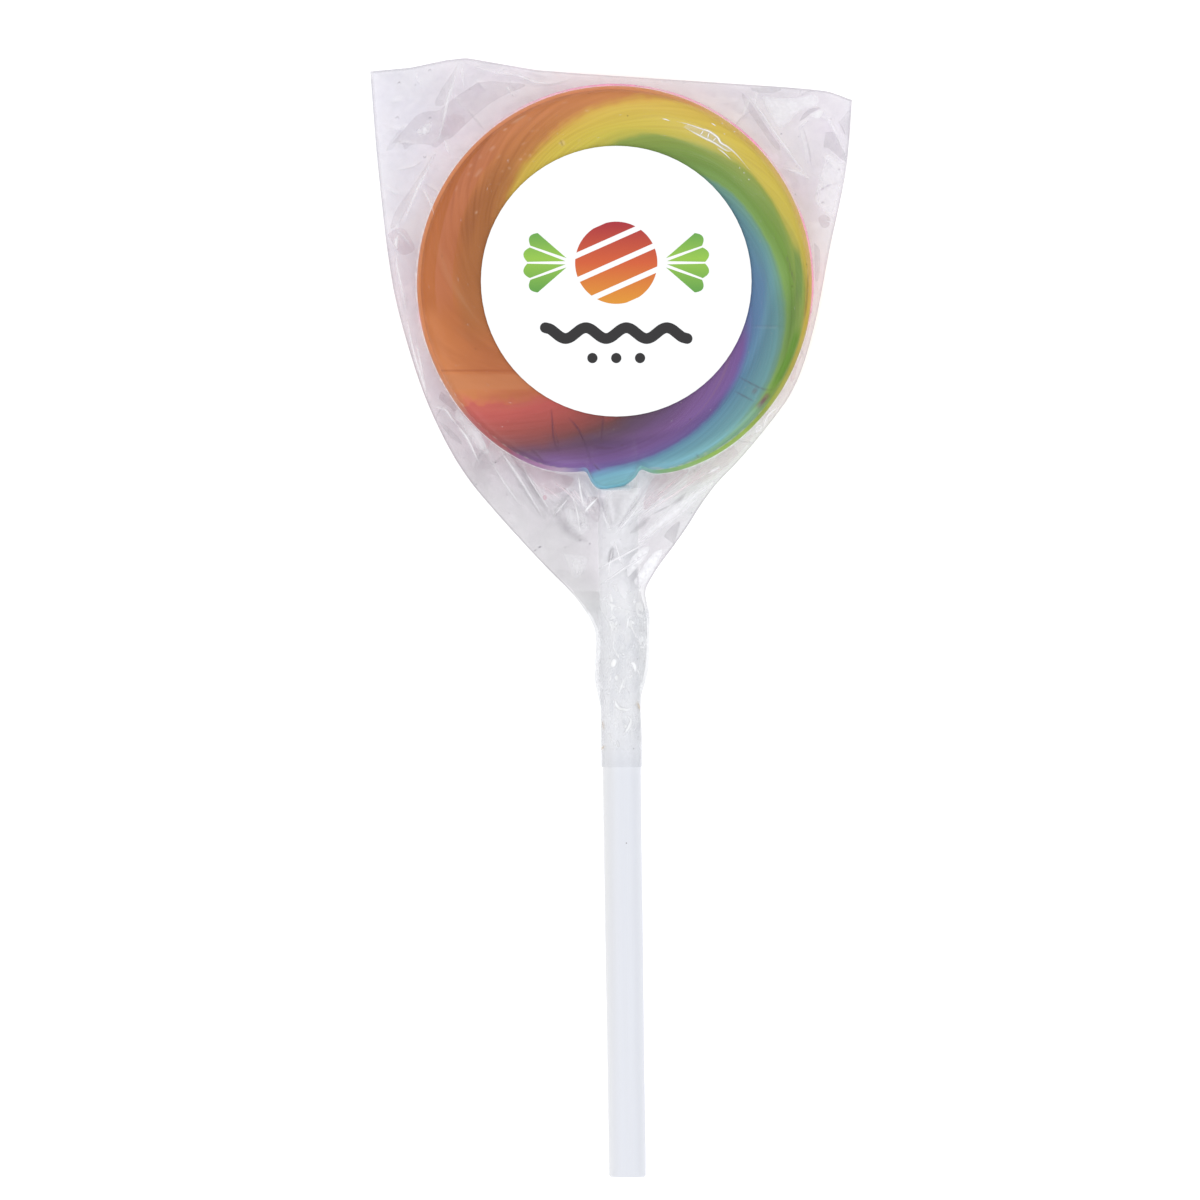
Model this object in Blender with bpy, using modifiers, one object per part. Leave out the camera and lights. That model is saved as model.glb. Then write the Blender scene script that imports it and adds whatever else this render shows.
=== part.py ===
"""A swirl lollipop in a clear film bag, lying on its back with its label up.

The origin is the middle of the candy's back, on the surface that the bag rests on. The bag's closed
end is towards +Y, the stick points along -Y, and +Z is up. Everything is in metres.
"""

import math

import bmesh
import bpy

# Candy: a poured disc with a flat back, a slightly domed front and a rounded rim.
CANDY_RADIUS = 0.0366
CANDY_THICKNESS = 0.0100
CANDY_STEPS = 80
FLAT_FRONT_RADIUS = 0.0262
FRONT_POINTS = 4
SHOULDER_RADIUS = 0.0351
SHOULDER_DROP = 0.0010
RIM_ROUNDING = 0.0032
RIM_POINTS = 9
RIM_FIRST_ANGLE = math.radians(57)

# The disc is drawn in on both sides of the nub: angle from the stick, half-angle, depth.
PINCHES = (
    (math.radians(8.5), math.radians(5.5), 0.0021),
    (math.radians(-14.0), math.radians(8.0), 0.0015),
)
NUB_CENTRE = (-0.0005, -0.0337)
NUB_HALF_WIDTH = 0.0047
NUB_HALF_LENGTH = 0.0047
NUB_TURN = math.radians(-14)
NUB_ROUNDING = 0.0012
NUB_INSET = 0.0004

# Stick: a plastic tube, a little slimmer towards its free end, set into the candy.
STICK_TILT = math.radians(0.83)
STICK_FOOT = 0.1654
STICK_HEAD = 0.0160
STICK_HEAD_RADIUS = 0.0037
STICK_FOOT_RADIUS = 0.0034
STICK_BORE_RADIUS = 0.0024
STICK_EDGE = 0.0003
STICK_STEPS = 32
SOCKET_END = 0.0500

# Label: a round sticker on the middle of the front.
LABEL_RADIUS = 0.0250
LABEL_THICKNESS = 0.0003
LABEL_CENTRE = (0.0003, 0.0003)
LABEL_STEPS = 80

# Bag: two sheets of film, sealed round their outline, over the candy and down to the neck.
GAP = 0.0003
FILM_BACK = 0.0005
SEAM_THICKNESS = 0.0006
SEAM_HEIGHT = 0.0030
# Its outline: x at each y down its two sides, and y at each x along its closed end.
LEFT_EDGE = (
    (0.0394, -0.0453),
    (0.0210, -0.0438),
    (0.0000, -0.0412),
    (-0.0123, -0.0381),
    (-0.0234, -0.0342),
    (-0.0345, -0.0284),
    (-0.0419, -0.0225),
    (-0.0531, -0.0123),
    (-0.0568, -0.0088),
    (-0.0605, -0.0058),
    (-0.0638, -0.0040),
    (-0.0700, -0.0038),
    (-0.0753, -0.0038),
    (-0.0790, -0.0031),
    (-0.0895, -0.0028),
)
RIGHT_EDGE = (
    (0.0340, 0.0440),
    (0.0210, 0.0429),
    (0.0060, 0.0398),
    (-0.0086, 0.0369),
    (-0.0197, 0.0332),
    (-0.0271, 0.0279),
    (-0.0345, 0.0216),
    (-0.0382, 0.0179),
    (-0.0457, 0.0131),
    (-0.0531, 0.0077),
    (-0.0558, 0.0058),
    (-0.0610, 0.0066),
    (-0.0716, 0.0065),
    (-0.0753, 0.0056),
    (-0.0790, 0.0052),
    (-0.0895, 0.0052),
)
TOP_EDGE = (
    (0.0440, 0.0340),
    (0.0388, 0.0358),
    (0.0051, 0.0381),
    (-0.0210, 0.0403),
    (-0.0249, 0.0416),
    (-0.0295, 0.0418),
    (-0.0362, 0.0403),
    (-0.0453, 0.0394),
)
TOP_STATIONS = 4
TOP_END = 0.0300
BODY_STATIONS = 22
ACROSS = 24
EDGE_CROWDING = 0.5
PILLOW = 1.5
TINY = 1e-9
SEAM_RISES_FROM = -0.0200
ROUND_FROM = -0.0440
ROUND_BY = -0.0570
NECK_HALF_HEIGHT = 0.0049
NECK_END = -0.0760
NECK_STATIONS = 8
STICK_WAY_END = -0.0860

# Tape: a clear band wound round the gathered neck and the stick.
TAPE_WALL = 0.0002
TAPE_GAP = 0.00015
TAPE_START_FROM = -0.0520
TAPE_START_BY = -0.0560
TAPE_END = -0.0895
CLOSING_FROM = -0.0725
CLOSING_BY = -0.0800
END_STATIONS = 5

CANDY_BACK = FILM_BACK + GAP
AXIS_HEIGHT = CANDY_BACK + CANDY_THICKNESS / 2
SHOULDER_HEIGHT = CANDY_THICKNESS - SHOULDER_DROP
FILM_OVER_RIM = CANDY_BACK + SHOULDER_HEIGHT


def clear_scene():
    for obj in list(bpy.data.objects):
        bpy.data.objects.remove(obj, do_unlink=True)


def new_collection(name, hidden=False):
    collection = bpy.data.collections.new(name)
    collection.hide_render = hidden
    bpy.context.scene.collection.children.link(collection)
    return collection


def make_material(name, colour, roughness, alpha=1.0):
    material = bpy.data.materials.new(name)
    material.use_nodes = True
    shader = material.node_tree.nodes["Principled BSDF"]
    shader.inputs["Base Color"].default_value = (*colour, 1.0)
    shader.inputs["Roughness"].default_value = roughness
    shader.inputs["Metallic"].default_value = 0.0
    shader.inputs["Alpha"].default_value = alpha
    material.diffuse_color = (*colour, alpha)
    return material


def object_from_bmesh(name, bm, collection):
    bmesh.ops.recalc_face_normals(bm, faces=bm.faces)
    mesh = bpy.data.meshes.new(name)
    bm.to_mesh(mesh)
    bm.free()
    obj = bpy.data.objects.new(name, mesh)
    collection.objects.link(obj)
    return obj


def finish_piece(obj, material):
    obj.data.materials.clear()
    obj.data.materials.append(material)
    obj.data.shade_smooth()
    obj.data.set_sharp_from_angle(angle=math.radians(35))


def as_cutter(obj):
    obj.hide_render = True
    obj.display_type = "WIRE"


def add_boolean(obj, other, operation):
    modifier = obj.modifiers.new(f"{operation.title()} {other.name}", "BOOLEAN")
    modifier.operation = operation
    modifier.object = other


def turned(name, profile, steps, collection):
    """A body of revolution about local Z from (radius, height) points that run down its outer side."""
    mesh = bpy.data.meshes.new(name)
    edges = [(i, i + 1) for i in range(len(profile) - 1)]
    mesh.from_pydata([(radius, 0.0, height) for radius, height in profile], edges, [])
    obj = bpy.data.objects.new(name, mesh)
    collection.objects.link(obj)
    screw = obj.modifiers.new("Turn", "SCREW")
    screw.steps = steps
    screw.render_steps = steps
    screw.use_merge_vertices = True
    screw.merge_threshold = 1e-6
    return obj


def apply_modifiers(obj):
    graph = bpy.context.evaluated_depsgraph_get()
    mesh = bpy.data.meshes.new_from_object(obj.evaluated_get(graph))
    obj.modifiers.clear()
    obj.data = mesh


def lofted(name, rings, collection, cyclic=False):
    """A closed body through rings of equally many points: capped at its ends, or joined last to first."""
    bm = bmesh.new()
    loops = [[bm.verts.new(point) for point in ring] for ring in rings]
    pairs = list(zip(loops, loops[1:]))
    if cyclic:
        pairs.append((loops[-1], loops[0]))
    else:
        bm.faces.new(loops[0])
        bm.faces.new(reversed(loops[-1]))
    for first, second in pairs:
        for i in range(len(first)):
            bm.faces.new((first[i - 1], first[i], second[i], second[i - 1]))
    return object_from_bmesh(name, bm, collection)


def mix(a, b, share):
    return a + (b - a) * share


def ease(value, start, end):
    """0 at start, 1 at end, and smooth between them."""
    t = min(max((value - start) / (end - start), 0.0), 1.0)
    return t * t * (3 - 2 * t)


def edge_at(edge, at):
    """The value of an edge here, on a smooth curve through its (position, value) points."""
    last = len(edge) - 1
    at = min(max(at, edge[last][0]), edge[0][0])
    i = next(k for k in range(last) if edge[k + 1][0] <= at)
    (start, first), (end, second) = edge[i], edge[i + 1]
    before, after = edge[max(i - 1, 0)], edge[min(i + 2, last)]
    step = end - start
    slope_in = step * (second - before[1]) / (end - before[0])
    slope_out = step * (after[1] - first) / (after[0] - start)
    t = (at - start) / step
    rest = 1 - t
    ends = rest * rest * (1 + 2 * t) * first + t * t * (3 - 2 * t) * second
    return ends + t * rest * (rest * slope_in - t * slope_out)


def stick_x(y):
    return -y * math.tan(STICK_TILT)


def stick_radius(y):
    return mix(STICK_HEAD_RADIUS, STICK_FOOT_RADIUS, (-y - STICK_HEAD) / (STICK_FOOT - STICK_HEAD))


def rim_profile(grow=0.0):
    """The candy's rim from its shoulder down to its flat back, as (radius, height) points."""
    centre = CANDY_RADIUS - RIM_ROUNDING
    half = CANDY_THICKNESS / 2
    points = []
    for i in range(RIM_POINTS):
        angle = mix(RIM_FIRST_ANGLE, -math.pi / 2, i / (RIM_POINTS - 1))
        radius = centre + (RIM_ROUNDING + grow) * math.cos(angle)
        points.append((radius, half + (half + grow) * math.sin(angle)))
    return points


def front_profile():
    """The candy's front from its middle out to its shoulder."""
    profile = [(0.0, CANDY_THICKNESS)]
    for i in range(FRONT_POINTS):
        out = i / FRONT_POINTS
        radius = mix(FLAT_FRONT_RADIUS, SHOULDER_RADIUS, out)
        profile.append((radius, CANDY_THICKNESS - SHOULDER_DROP * out**2))
    return profile


def pinch_beside_nub(mesh):
    """Draws the rim in on both sides of the nub, and leaves the middle of the disc as it is."""
    for vertex in mesh.vertices:
        radius = math.hypot(vertex.co.x, vertex.co.y)
        angle = math.atan2(vertex.co.x, -vertex.co.y)
        depth = sum(deep * math.exp(-(((angle - at) / half) ** 2)) for at, half, deep in PINCHES)
        drawn = 1 - depth / CANDY_RADIUS * ease(radius, LABEL_RADIUS, CANDY_RADIUS)
        vertex.co.x *= drawn
        vertex.co.y *= drawn


def make_nub(name, grow, collection):
    """The lobe of candy that the stick comes out of: an oval slab with rounded edges, grown all round."""
    bm = bmesh.new()
    height = CANDY_THICKNESS - 2 * NUB_INSET + 2 * grow
    bmesh.ops.create_cone(bm, cap_ends=True, segments=40, radius1=1, radius2=1, depth=height)
    widths = (NUB_HALF_WIDTH + grow, NUB_HALF_LENGTH + grow, 1)
    bmesh.ops.scale(bm, vec=widths, verts=bm.verts)
    nub = object_from_bmesh(name, bm, collection)
    nub.location = (*NUB_CENTRE, AXIS_HEIGHT)
    nub.rotation_euler.z = NUB_TURN
    bevel = nub.modifiers.new("Rounding", "BEVEL")
    bevel.width = NUB_ROUNDING
    bevel.segments = 3
    as_cutter(nub)
    return nub


def make_stick_axis(collection):
    """An empty in the middle of the candy whose +Z points along the stick, away from its free end."""
    axis = bpy.data.objects.new("stick_axis", None)
    axis.location.z = AXIS_HEIGHT
    axis.rotation_euler = (-math.pi / 2, 0.0, STICK_TILT)
    collection.objects.link(axis)
    return axis


def make_socket(axis, collection):
    """What the stick takes out of the candy."""
    radius = STICK_HEAD_RADIUS + GAP
    start, end = GAP - STICK_HEAD, -SOCKET_END
    profile = ((0.0, start), (radius, start), (radius, end), (0.0, end))
    socket = turned("socket", profile, STICK_STEPS, collection)
    socket.parent = axis
    as_cutter(socket)
    return socket


def make_candy(axis, collection, cutters):
    candy = turned("candy", front_profile() + rim_profile() + [(0.0, 0.0)], CANDY_STEPS, collection)
    apply_modifiers(candy)
    pinch_beside_nub(candy.data)
    candy.location.z = CANDY_BACK
    add_boolean(candy, make_nub("nub", 0.0, cutters), "UNION")
    add_boolean(candy, make_socket(axis, cutters), "DIFFERENCE")
    finish_piece(candy, make_material("candy_swirl", (0.55, 0.30, 0.16), 0.25))
    return candy


def make_stick(axis, collection):
    profile = (
        (STICK_BORE_RADIUS, -STICK_HEAD),
        (STICK_HEAD_RADIUS - STICK_EDGE, -STICK_HEAD),
        (STICK_HEAD_RADIUS, -STICK_HEAD - STICK_EDGE),
        (STICK_FOOT_RADIUS, -STICK_FOOT + STICK_EDGE),
        (STICK_FOOT_RADIUS - STICK_EDGE, -STICK_FOOT),
        (STICK_BORE_RADIUS, -STICK_FOOT),
        (STICK_BORE_RADIUS, -STICK_HEAD),
    )
    stick = turned("stick", profile, STICK_STEPS, collection)
    stick.parent = axis
    weld = stick.modifiers.new("Close bore", "WELD")
    weld.merge_threshold = 1e-6
    finish_piece(stick, make_material("stick_plastic", (0.86, 0.87, 0.90), 0.35))
    return stick


def make_label(collection):
    bm = bmesh.new()
    radii = {"radius1": LABEL_RADIUS, "radius2": LABEL_RADIUS}
    bmesh.ops.create_cone(bm, cap_ends=True, segments=LABEL_STEPS, depth=LABEL_THICKNESS, **radii)
    label = object_from_bmesh("label", bm, collection)
    label.location = (*LABEL_CENTRE, CANDY_BACK + CANDY_THICKNESS + GAP + LABEL_THICKNESS / 2)
    finish_piece(label, make_material("label_paper", (0.90, 0.90, 0.90), 0.30))
    return label


def film_lift(x, y):
    """How much of its full height the bag has here: 0 at its seam and 1 over the candy and the stick."""
    to_seam = min(x - edge_at(LEFT_EDGE, y), edge_at(RIGHT_EDGE, y) - x, edge_at(TOP_EDGE, x) - y)
    to_candy = max(math.hypot(x, y) - CANDY_RADIUS, 0.0)
    to_stick = max(abs(x - stick_x(y)) - STICK_HEAD_RADIUS, 0.0) if y < 0 else to_candy
    to_core = min(to_candy, to_stick)
    slope = to_core / (to_core + max(to_seam, 0.0) + TINY)
    return 1 - slope**PILLOW


def under_tape(y):
    """How far the tape's own thickness sets the film in at this y."""
    return (TAPE_WALL + TAPE_GAP) * ease(-y, -TAPE_START_FROM, -TAPE_START_BY)


def pouch_ring(stations):
    """A ring round the bag where it is two sheets, across its front and back along its underside."""
    front = []
    back = []
    for x, y in stations:
        seam = mix(SEAM_HEIGHT, AXIS_HEIGHT, ease(-y, -SEAM_RISES_FROM, -ROUND_BY))
        lift = film_lift(x, y)
        front.append((x, y, mix(seam + SEAM_THICKNESS / 2, FILM_OVER_RIM, lift)))
        back.append((x, y, mix(seam - SEAM_THICKNESS / 2, 0.0, lift)))
    return front + back[::-1]


def neck_ring(y, inset):
    """A ring round the gathered neck, drawn in by inset. Towards the tape's end it closes on the stick."""
    on_stick = stick_radius(y) + TAPE_WALL + TAPE_GAP
    closing = ease(-y, -CLOSING_FROM, -CLOSING_BY)
    left = mix(edge_at(LEFT_EDGE, y), stick_x(y) - on_stick, closing) + inset
    right = mix(edge_at(RIGHT_EDGE, y), stick_x(y) + on_stick, closing) - inset
    half_height = mix(NECK_HALF_HEIGHT, on_stick, closing) - inset
    front = []
    back = []
    for j in range(ACROSS + 1):
        angle = math.pi * j / ACROSS
        x = mix(left, right, (1 - math.cos(angle)) / 2)
        height = max(half_height * math.sin(angle), SEAM_THICKNESS / 2)
        front.append((x, y, AXIS_HEIGHT + height))
        back.append((x, y, AXIS_HEIGHT - height))
    return front + back[::-1]


def stations_across(y_of):
    """Points across the bag, closer together near its edges. y_of gives the y for an x."""
    points = []
    for j in range(ACROSS + 1):
        even = j / ACROSS
        rounded = (1 - math.cos(math.pi * even)) / 2
        share = mix(even, rounded, EDGE_CROWDING)
        x = mix(LEFT_EDGE[0][1], RIGHT_EDGE[0][1], share)
        for _ in range(4):
            y = y_of(x)
            x = mix(edge_at(LEFT_EDGE, y), edge_at(RIGHT_EDGE, y), share)
        points.append((x, y_of(x)))
    return points


def blend_rings(first, second, share):
    return [[mix(a, b, share) for a, b in zip(p, q)] for p, q in zip(first, second)]


def neck_stations(end, count):
    return [mix(ROUND_BY, end, i / count) for i in range(count + 1)]


def bag_rings():
    rings = []
    for i in range(TOP_STATIONS):
        down = i / TOP_STATIONS
        rings.append(pouch_ring(stations_across(lambda x: mix(edge_at(TOP_EDGE, x), TOP_END, down))))
    for i in range(BODY_STATIONS):
        y = mix(TOP_END, ROUND_BY, i / BODY_STATIONS)
        pouch = pouch_ring(stations_across(lambda x: y))
        roundness = ease(-y, -ROUND_FROM, -ROUND_BY)
        rings.append(blend_rings(pouch, neck_ring(y, under_tape(y)), roundness))
    inset = TAPE_WALL + TAPE_GAP
    return rings + [neck_ring(y, inset) for y in neck_stations(NECK_END, NECK_STATIONS)]


def make_stick_way(axis, collection):
    """The hole that the stick takes through the bag's neck."""
    radius = STICK_HEAD_RADIUS + TAPE_GAP
    start, end = -CANDY_RADIUS / 2, STICK_WAY_END
    profile = ((0.0, start), (radius, start), (radius, end), (0.0, end))
    way = turned("stick_way", profile, STICK_STEPS, collection)
    way.parent = axis
    as_cutter(way)
    return way


def make_recess(axis, collection):
    """What the candy and the stick take out of the bag, with a gap and open to the front."""
    widest = CANDY_RADIUS + GAP
    above = 2 * CANDY_THICKNESS
    rim = [point for point in rim_profile(GAP) if point[1] < CANDY_THICKNESS / 2]
    profile = [(0.0, above), (widest, above), (widest, CANDY_THICKNESS / 2), *rim, (0.0, -GAP)]
    recess = turned("recess", profile, CANDY_STEPS, collection)
    apply_modifiers(recess)
    pinch_beside_nub(recess.data)
    recess.location.z = CANDY_BACK
    add_boolean(recess, make_nub("nub_recess", GAP, collection), "UNION")
    add_boolean(recess, make_stick_way(axis, collection), "UNION")
    as_cutter(recess)
    return recess


def make_bag(axis, collection, cutters):
    bag = lofted("bag", bag_rings(), collection)
    add_boolean(bag, make_recess(axis, cutters), "DIFFERENCE")
    finish_piece(bag, make_material("bag_film", (0.86, 0.84, 0.88), 0.15, alpha=0.35))
    return bag


def make_tape(collection):
    stations = neck_stations(NECK_END, NECK_STATIONS)
    stations += [mix(NECK_END, TAPE_END, i / END_STATIONS) for i in range(1, END_STATIONS + 1)]
    outer = [neck_ring(y, 0.0) for y in stations]
    inner = [neck_ring(y, TAPE_WALL) for y in reversed(stations)]
    tape = lofted("tape", outer + inner, collection, cyclic=True)
    finish_piece(tape, make_material("tape_film", (0.88, 0.88, 0.90), 0.20, alpha=0.5))
    return tape


def main():
    clear_scene()
    lollipop = new_collection("swirl_lollipop")
    cutters = new_collection("cutters", hidden=True)
    axis = make_stick_axis(lollipop)
    make_candy(axis, lollipop, cutters)
    make_stick(axis, lollipop)
    make_label(lollipop)
    make_bag(axis, lollipop, cutters)
    make_tape(lollipop)


main()
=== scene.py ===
# The looks of a swirl lollipop in its clear bag: the swirl of the hard candy, the creased film, the
# gathered neck under its tape, the white stick, and a round label with a generic print.
# Metres, in the frame of the part: +Y towards the bag's closed end, +Z out of the labelled front.

import math

import bpy
import numpy as np
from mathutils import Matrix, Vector, noise
from mathutils.geometry import delaunay_2d_cdt


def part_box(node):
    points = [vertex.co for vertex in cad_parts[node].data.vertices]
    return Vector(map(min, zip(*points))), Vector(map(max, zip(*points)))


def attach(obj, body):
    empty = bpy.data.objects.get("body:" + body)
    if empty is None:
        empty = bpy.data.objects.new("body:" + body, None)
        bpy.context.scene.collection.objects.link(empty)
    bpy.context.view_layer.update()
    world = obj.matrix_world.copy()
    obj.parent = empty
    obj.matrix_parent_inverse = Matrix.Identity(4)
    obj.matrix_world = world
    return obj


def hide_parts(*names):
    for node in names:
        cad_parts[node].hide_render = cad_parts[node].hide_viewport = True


MM = 0.001
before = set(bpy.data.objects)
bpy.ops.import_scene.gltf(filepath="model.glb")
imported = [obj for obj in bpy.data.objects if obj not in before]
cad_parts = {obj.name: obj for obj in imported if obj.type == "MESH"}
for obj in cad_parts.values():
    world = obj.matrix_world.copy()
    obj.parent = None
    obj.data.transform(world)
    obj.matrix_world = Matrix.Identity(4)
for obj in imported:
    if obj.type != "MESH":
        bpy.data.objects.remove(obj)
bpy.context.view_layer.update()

SEED = 7
RNG = np.random.default_rng(SEED)


# ---------------------------------------------------------------------------------------------
# Material nodes, written as sums: a Value stands for a node's output and takes + - * / and so on.
# ---------------------------------------------------------------------------------------------

def linear(red, green, blue):
    """A colour given as the eye reads it, from 0 to 255, as a shader takes it."""
    parts = [channel / 255 for channel in (red, green, blue)]
    return tuple(p / 12.92 if p <= 0.04045 else ((p + 0.055) / 1.055) ** 2.4 for p in parts)


class Value:
    """An output of a node in a material's tree."""

    def __init__(self, tree, socket):
        self.tree = tree
        self.socket = socket

    def math(self, operation, *others, clamp=False):
        node = self.tree.nodes.new("ShaderNodeMath")
        node.operation = operation
        node.use_clamp = clamp
        for slot, operand in zip(node.inputs, (self, *others)):
            plug(self.tree, operand, slot)
        return Value(self.tree, node.outputs[0])

    def __add__(self, other):
        return self.math("ADD", other)

    __radd__ = __add__

    def __sub__(self, other):
        return self.math("SUBTRACT", other)

    def __rsub__(self, other):
        return (self * -1.0) + other

    def __mul__(self, other):
        return self.math("MULTIPLY", other)

    def __truediv__(self, other):
        return self.math("DIVIDE", other)

    def clamped(self):
        return self.math("ADD", 0.0, clamp=True)

    def between(self, start, end):
        """0 where this is at start, 1 where it is at end, and smooth between them."""
        node = self.tree.nodes.new("ShaderNodeMapRange")
        node.interpolation_type = "SMOOTHSTEP"
        for name, operand in (("Value", self), ("From Min", start), ("From Max", end)):
            plug(self.tree, operand, node.inputs[name])
        return Value(self.tree, node.outputs["Result"])


def plug(tree, operand, slot):
    if isinstance(operand, Value):
        tree.links.new(operand.socket, slot)
    elif isinstance(operand, tuple) and len(operand) == 3 and slot.type == "RGBA":
        slot.default_value = (*operand, 1.0)
    else:
        slot.default_value = operand


class Surface:
    """A new material, and short calls for the nodes that its colour and relief are made from."""

    def __init__(self, name):
        self.material = bpy.data.materials.new(name)
        self.material.use_nodes = True
        self.tree = self.material.node_tree
        self.tree.nodes.clear()
        self.out = self.node("ShaderNodeOutputMaterial")
        self.place = self.value(self.node("ShaderNodeTexCoord"), "Object")

    def node(self, kind, **settings):
        node = self.tree.nodes.new(kind)
        for key, setting in settings.items():
            setattr(node, key, setting)
        return node

    def value(self, node, output=0):
        return Value(self.tree, node.outputs[output])

    def xyz(self):
        node = self.node("ShaderNodeSeparateXYZ")
        plug(self.tree, self.place, node.inputs[0])
        return [self.value(node, axis) for axis in range(3)]

    def vector(self, x, y, z):
        node = self.node("ShaderNodeCombineXYZ")
        for slot, part in zip(node.inputs, (x, y, z)):
            plug(self.tree, part, slot)
        return self.value(node)

    def noise(self, grain, where=None, detail=2.0, roughness=0.5, distortion=0.0):
        """Soft noise from 0 to 1, with lumps of about this size."""
        node = self.node("ShaderNodeTexNoise")
        plug(self.tree, where or self.place, node.inputs["Vector"])
        node.inputs["Scale"].default_value = 1.0 / grain
        node.inputs["Detail"].default_value = detail
        node.inputs["Roughness"].default_value = roughness
        node.inputs["Distortion"].default_value = distortion
        return self.value(node, "Fac")

    def cells(self, grain):
        """The distance to the nearest of many scattered points, as a share of their spacing."""
        node = self.node("ShaderNodeTexVoronoi")
        plug(self.tree, self.place, node.inputs["Vector"])
        node.inputs["Scale"].default_value = 1.0 / grain
        return self.value(node, "Distance")

    def stored(self, name):
        """A number stored on the piece's points."""
        return self.value(self.node("ShaderNodeAttribute", attribute_name=name), "Fac")

    def ramp(self, share, stops):
        """A colour that runs through (share, colour) stops."""
        node = self.node("ShaderNodeValToRGB")
        bar = node.color_ramp.elements
        while len(bar) < len(stops):
            bar.new(1.0)
        for element, (at, colour) in zip(bar, stops):
            element.position = at
            element.color = (*colour, 1.0)
        plug(self.tree, share, node.inputs[0])
        return self.value(node)

    def mix(self, share, first, second, blend="MIX"):
        node = self.node("ShaderNodeMix", data_type="RGBA", blend_type=blend)
        for slot, operand in ((0, share), (6, first), (7, second)):
            plug(self.tree, operand, node.inputs[slot])
        return self.value(node, 2)

    def layers(self, colour, *coats):
        """A colour with coats of (share, red, green, blue) laid over it, one after the other."""
        for share, *coat in coats:
            colour = self.mix(share, colour, linear(*coat))
        return colour

    def stained(self, share, colour, stain):
        """A colour multiplied by a stain, as far as the share says."""
        return self.mix(share, colour, self.mix(1.0, colour, stain, "MULTIPLY"))

    def relief(self, height, depth):
        """A normal from a height between 0 and 1 that stands for this depth in metres."""
        node = self.node("ShaderNodeBump")
        node.inputs["Distance"].default_value = depth
        plug(self.tree, height, node.inputs["Height"])
        return self.value(node, "Normal")

    def principled(self, **inputs):
        node = self.node("ShaderNodeBsdfPrincipled")
        for name, operand in inputs.items():
            plug(self.tree, operand, node.inputs[name.replace("_", " ")])
        return self.value(node)

    def finish(self, shader):
        plug(self.tree, shader, self.out.inputs["Surface"])
        return self.material

    def finish_clear(self, shader, cover):
        """Shows the shader where cover is 1 and what lies behind where it is 0."""
        clear = self.value(self.node("ShaderNodeBsdfTransparent"))
        node = self.node("ShaderNodeMixShader")
        for slot, operand in zip(node.inputs, (cover, clear, shader)):
            plug(self.tree, operand, slot)
        return self.finish(self.value(node))


# ---------------------------------------------------------------------------------------------
# Shapes
# ---------------------------------------------------------------------------------------------

def ease(value, start, end):
    """0 at start, 1 at end, and smooth between them."""
    t = np.clip((value - start) / (end - start), 0.0, 1.0)
    return t * t * (3 - 2 * t)


def mixed(a, b, share):
    return a + (b - a) * share


def grid_faces(rows, columns, closed=False):
    """Quads between neighbours of a grid of points. A closed grid joins its last column to its first."""
    row, column = np.meshgrid(np.arange(rows - 1), np.arange(columns - (not closed)), indexing="ij")
    after = (column + 1) % columns
    corners = (row * columns + column, row * columns + after)
    below = ((row + 1) * columns + after, (row + 1) * columns + column)
    return np.stack([*corners, *below], axis=-1).reshape(-1, 4)


def new_piece(name, points, faces, material, replaces=None, stored=None):
    """A smooth mesh that rides on the part, with any numbers stored on its points."""
    mesh = bpy.data.meshes.new(name)
    mesh.from_pydata(np.asarray(points).reshape(-1, 3), [], [list(face) for face in faces])
    for key, numbers in (stored or {}).items():
        mesh.attributes.new(key, "FLOAT", "POINT").data.foreach_set("value", np.ravel(numbers))
    mesh.materials.append(material)
    mesh.shade_smooth()
    piece = bpy.data.objects.new(name, mesh)
    bpy.context.scene.collection.objects.link(piece)
    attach(piece, "root")
    if replaces:
        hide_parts(replaces)
    return piece


def smooth_line(points, steps=6):
    """More points on a smooth curve through these."""
    points = np.array(points, float)
    padded = np.vstack([2 * points[0] - points[1], points, 2 * points[-1] - points[-2]])
    line = []
    for before, start, end, after in zip(padded, padded[1:], padded[2:], padded[3:]):
        for t in np.arange(steps) / steps:
            bend = 2 * start + t * (end - before)
            bend += t * t * (2 * before - 5 * start + 4 * end - after)
            bend += t**3 * (3 * start - before - 3 * end + after)
            line.append(bend / 2)
    return np.array(line + [points[-1]])


def along_line(x, y, line):
    """The distance to a line of points, on which side it lies, and how far along it, from 0 to 1."""
    lengths = np.hypot(*(line[1:] - line[:-1]).T)
    total = lengths.sum()
    nearest = np.full(x.shape, np.inf)
    side = np.zeros(x.shape)
    way = np.zeros(x.shape)
    run = 0.0
    for start, end, length in zip(line, line[1:], lengths):
        dx, dy = (end - start) / length
        reach = np.clip((x - start[0]) * dx + (y - start[1]) * dy, 0.0, length)
        off_x = x - start[0] - reach * dx
        off_y = y - start[1] - reach * dy
        distance = np.hypot(off_x, off_y)
        closer = distance < nearest
        nearest = np.where(closer, distance, nearest)
        side = np.where(closer, np.sign(dx * off_y - dy * off_x), side)
        way = np.where(closer, (run + reach) / total, way)
        run += length
    return nearest, side, way


def even_steps(line, step):
    """Points at even steps along a line."""
    run = np.append(0.0, np.cumsum(np.hypot(*(line[1:] - line[:-1]).T)))
    at = np.linspace(0.0, run[-1], max(int(round(run[-1] / step)), 2) + 1)
    return np.stack([np.interp(at, run, line[:, 0]), np.interp(at, run, line[:, 1])], axis=-1)


def directions(line):
    """The unit directions along a line of points and across it, at each of them."""
    along = np.gradient(line, axis=0)
    along /= np.hypot(*along.T)[:, None]
    return along, np.stack([-along[:, 1], along[:, 0]], axis=-1)


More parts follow.
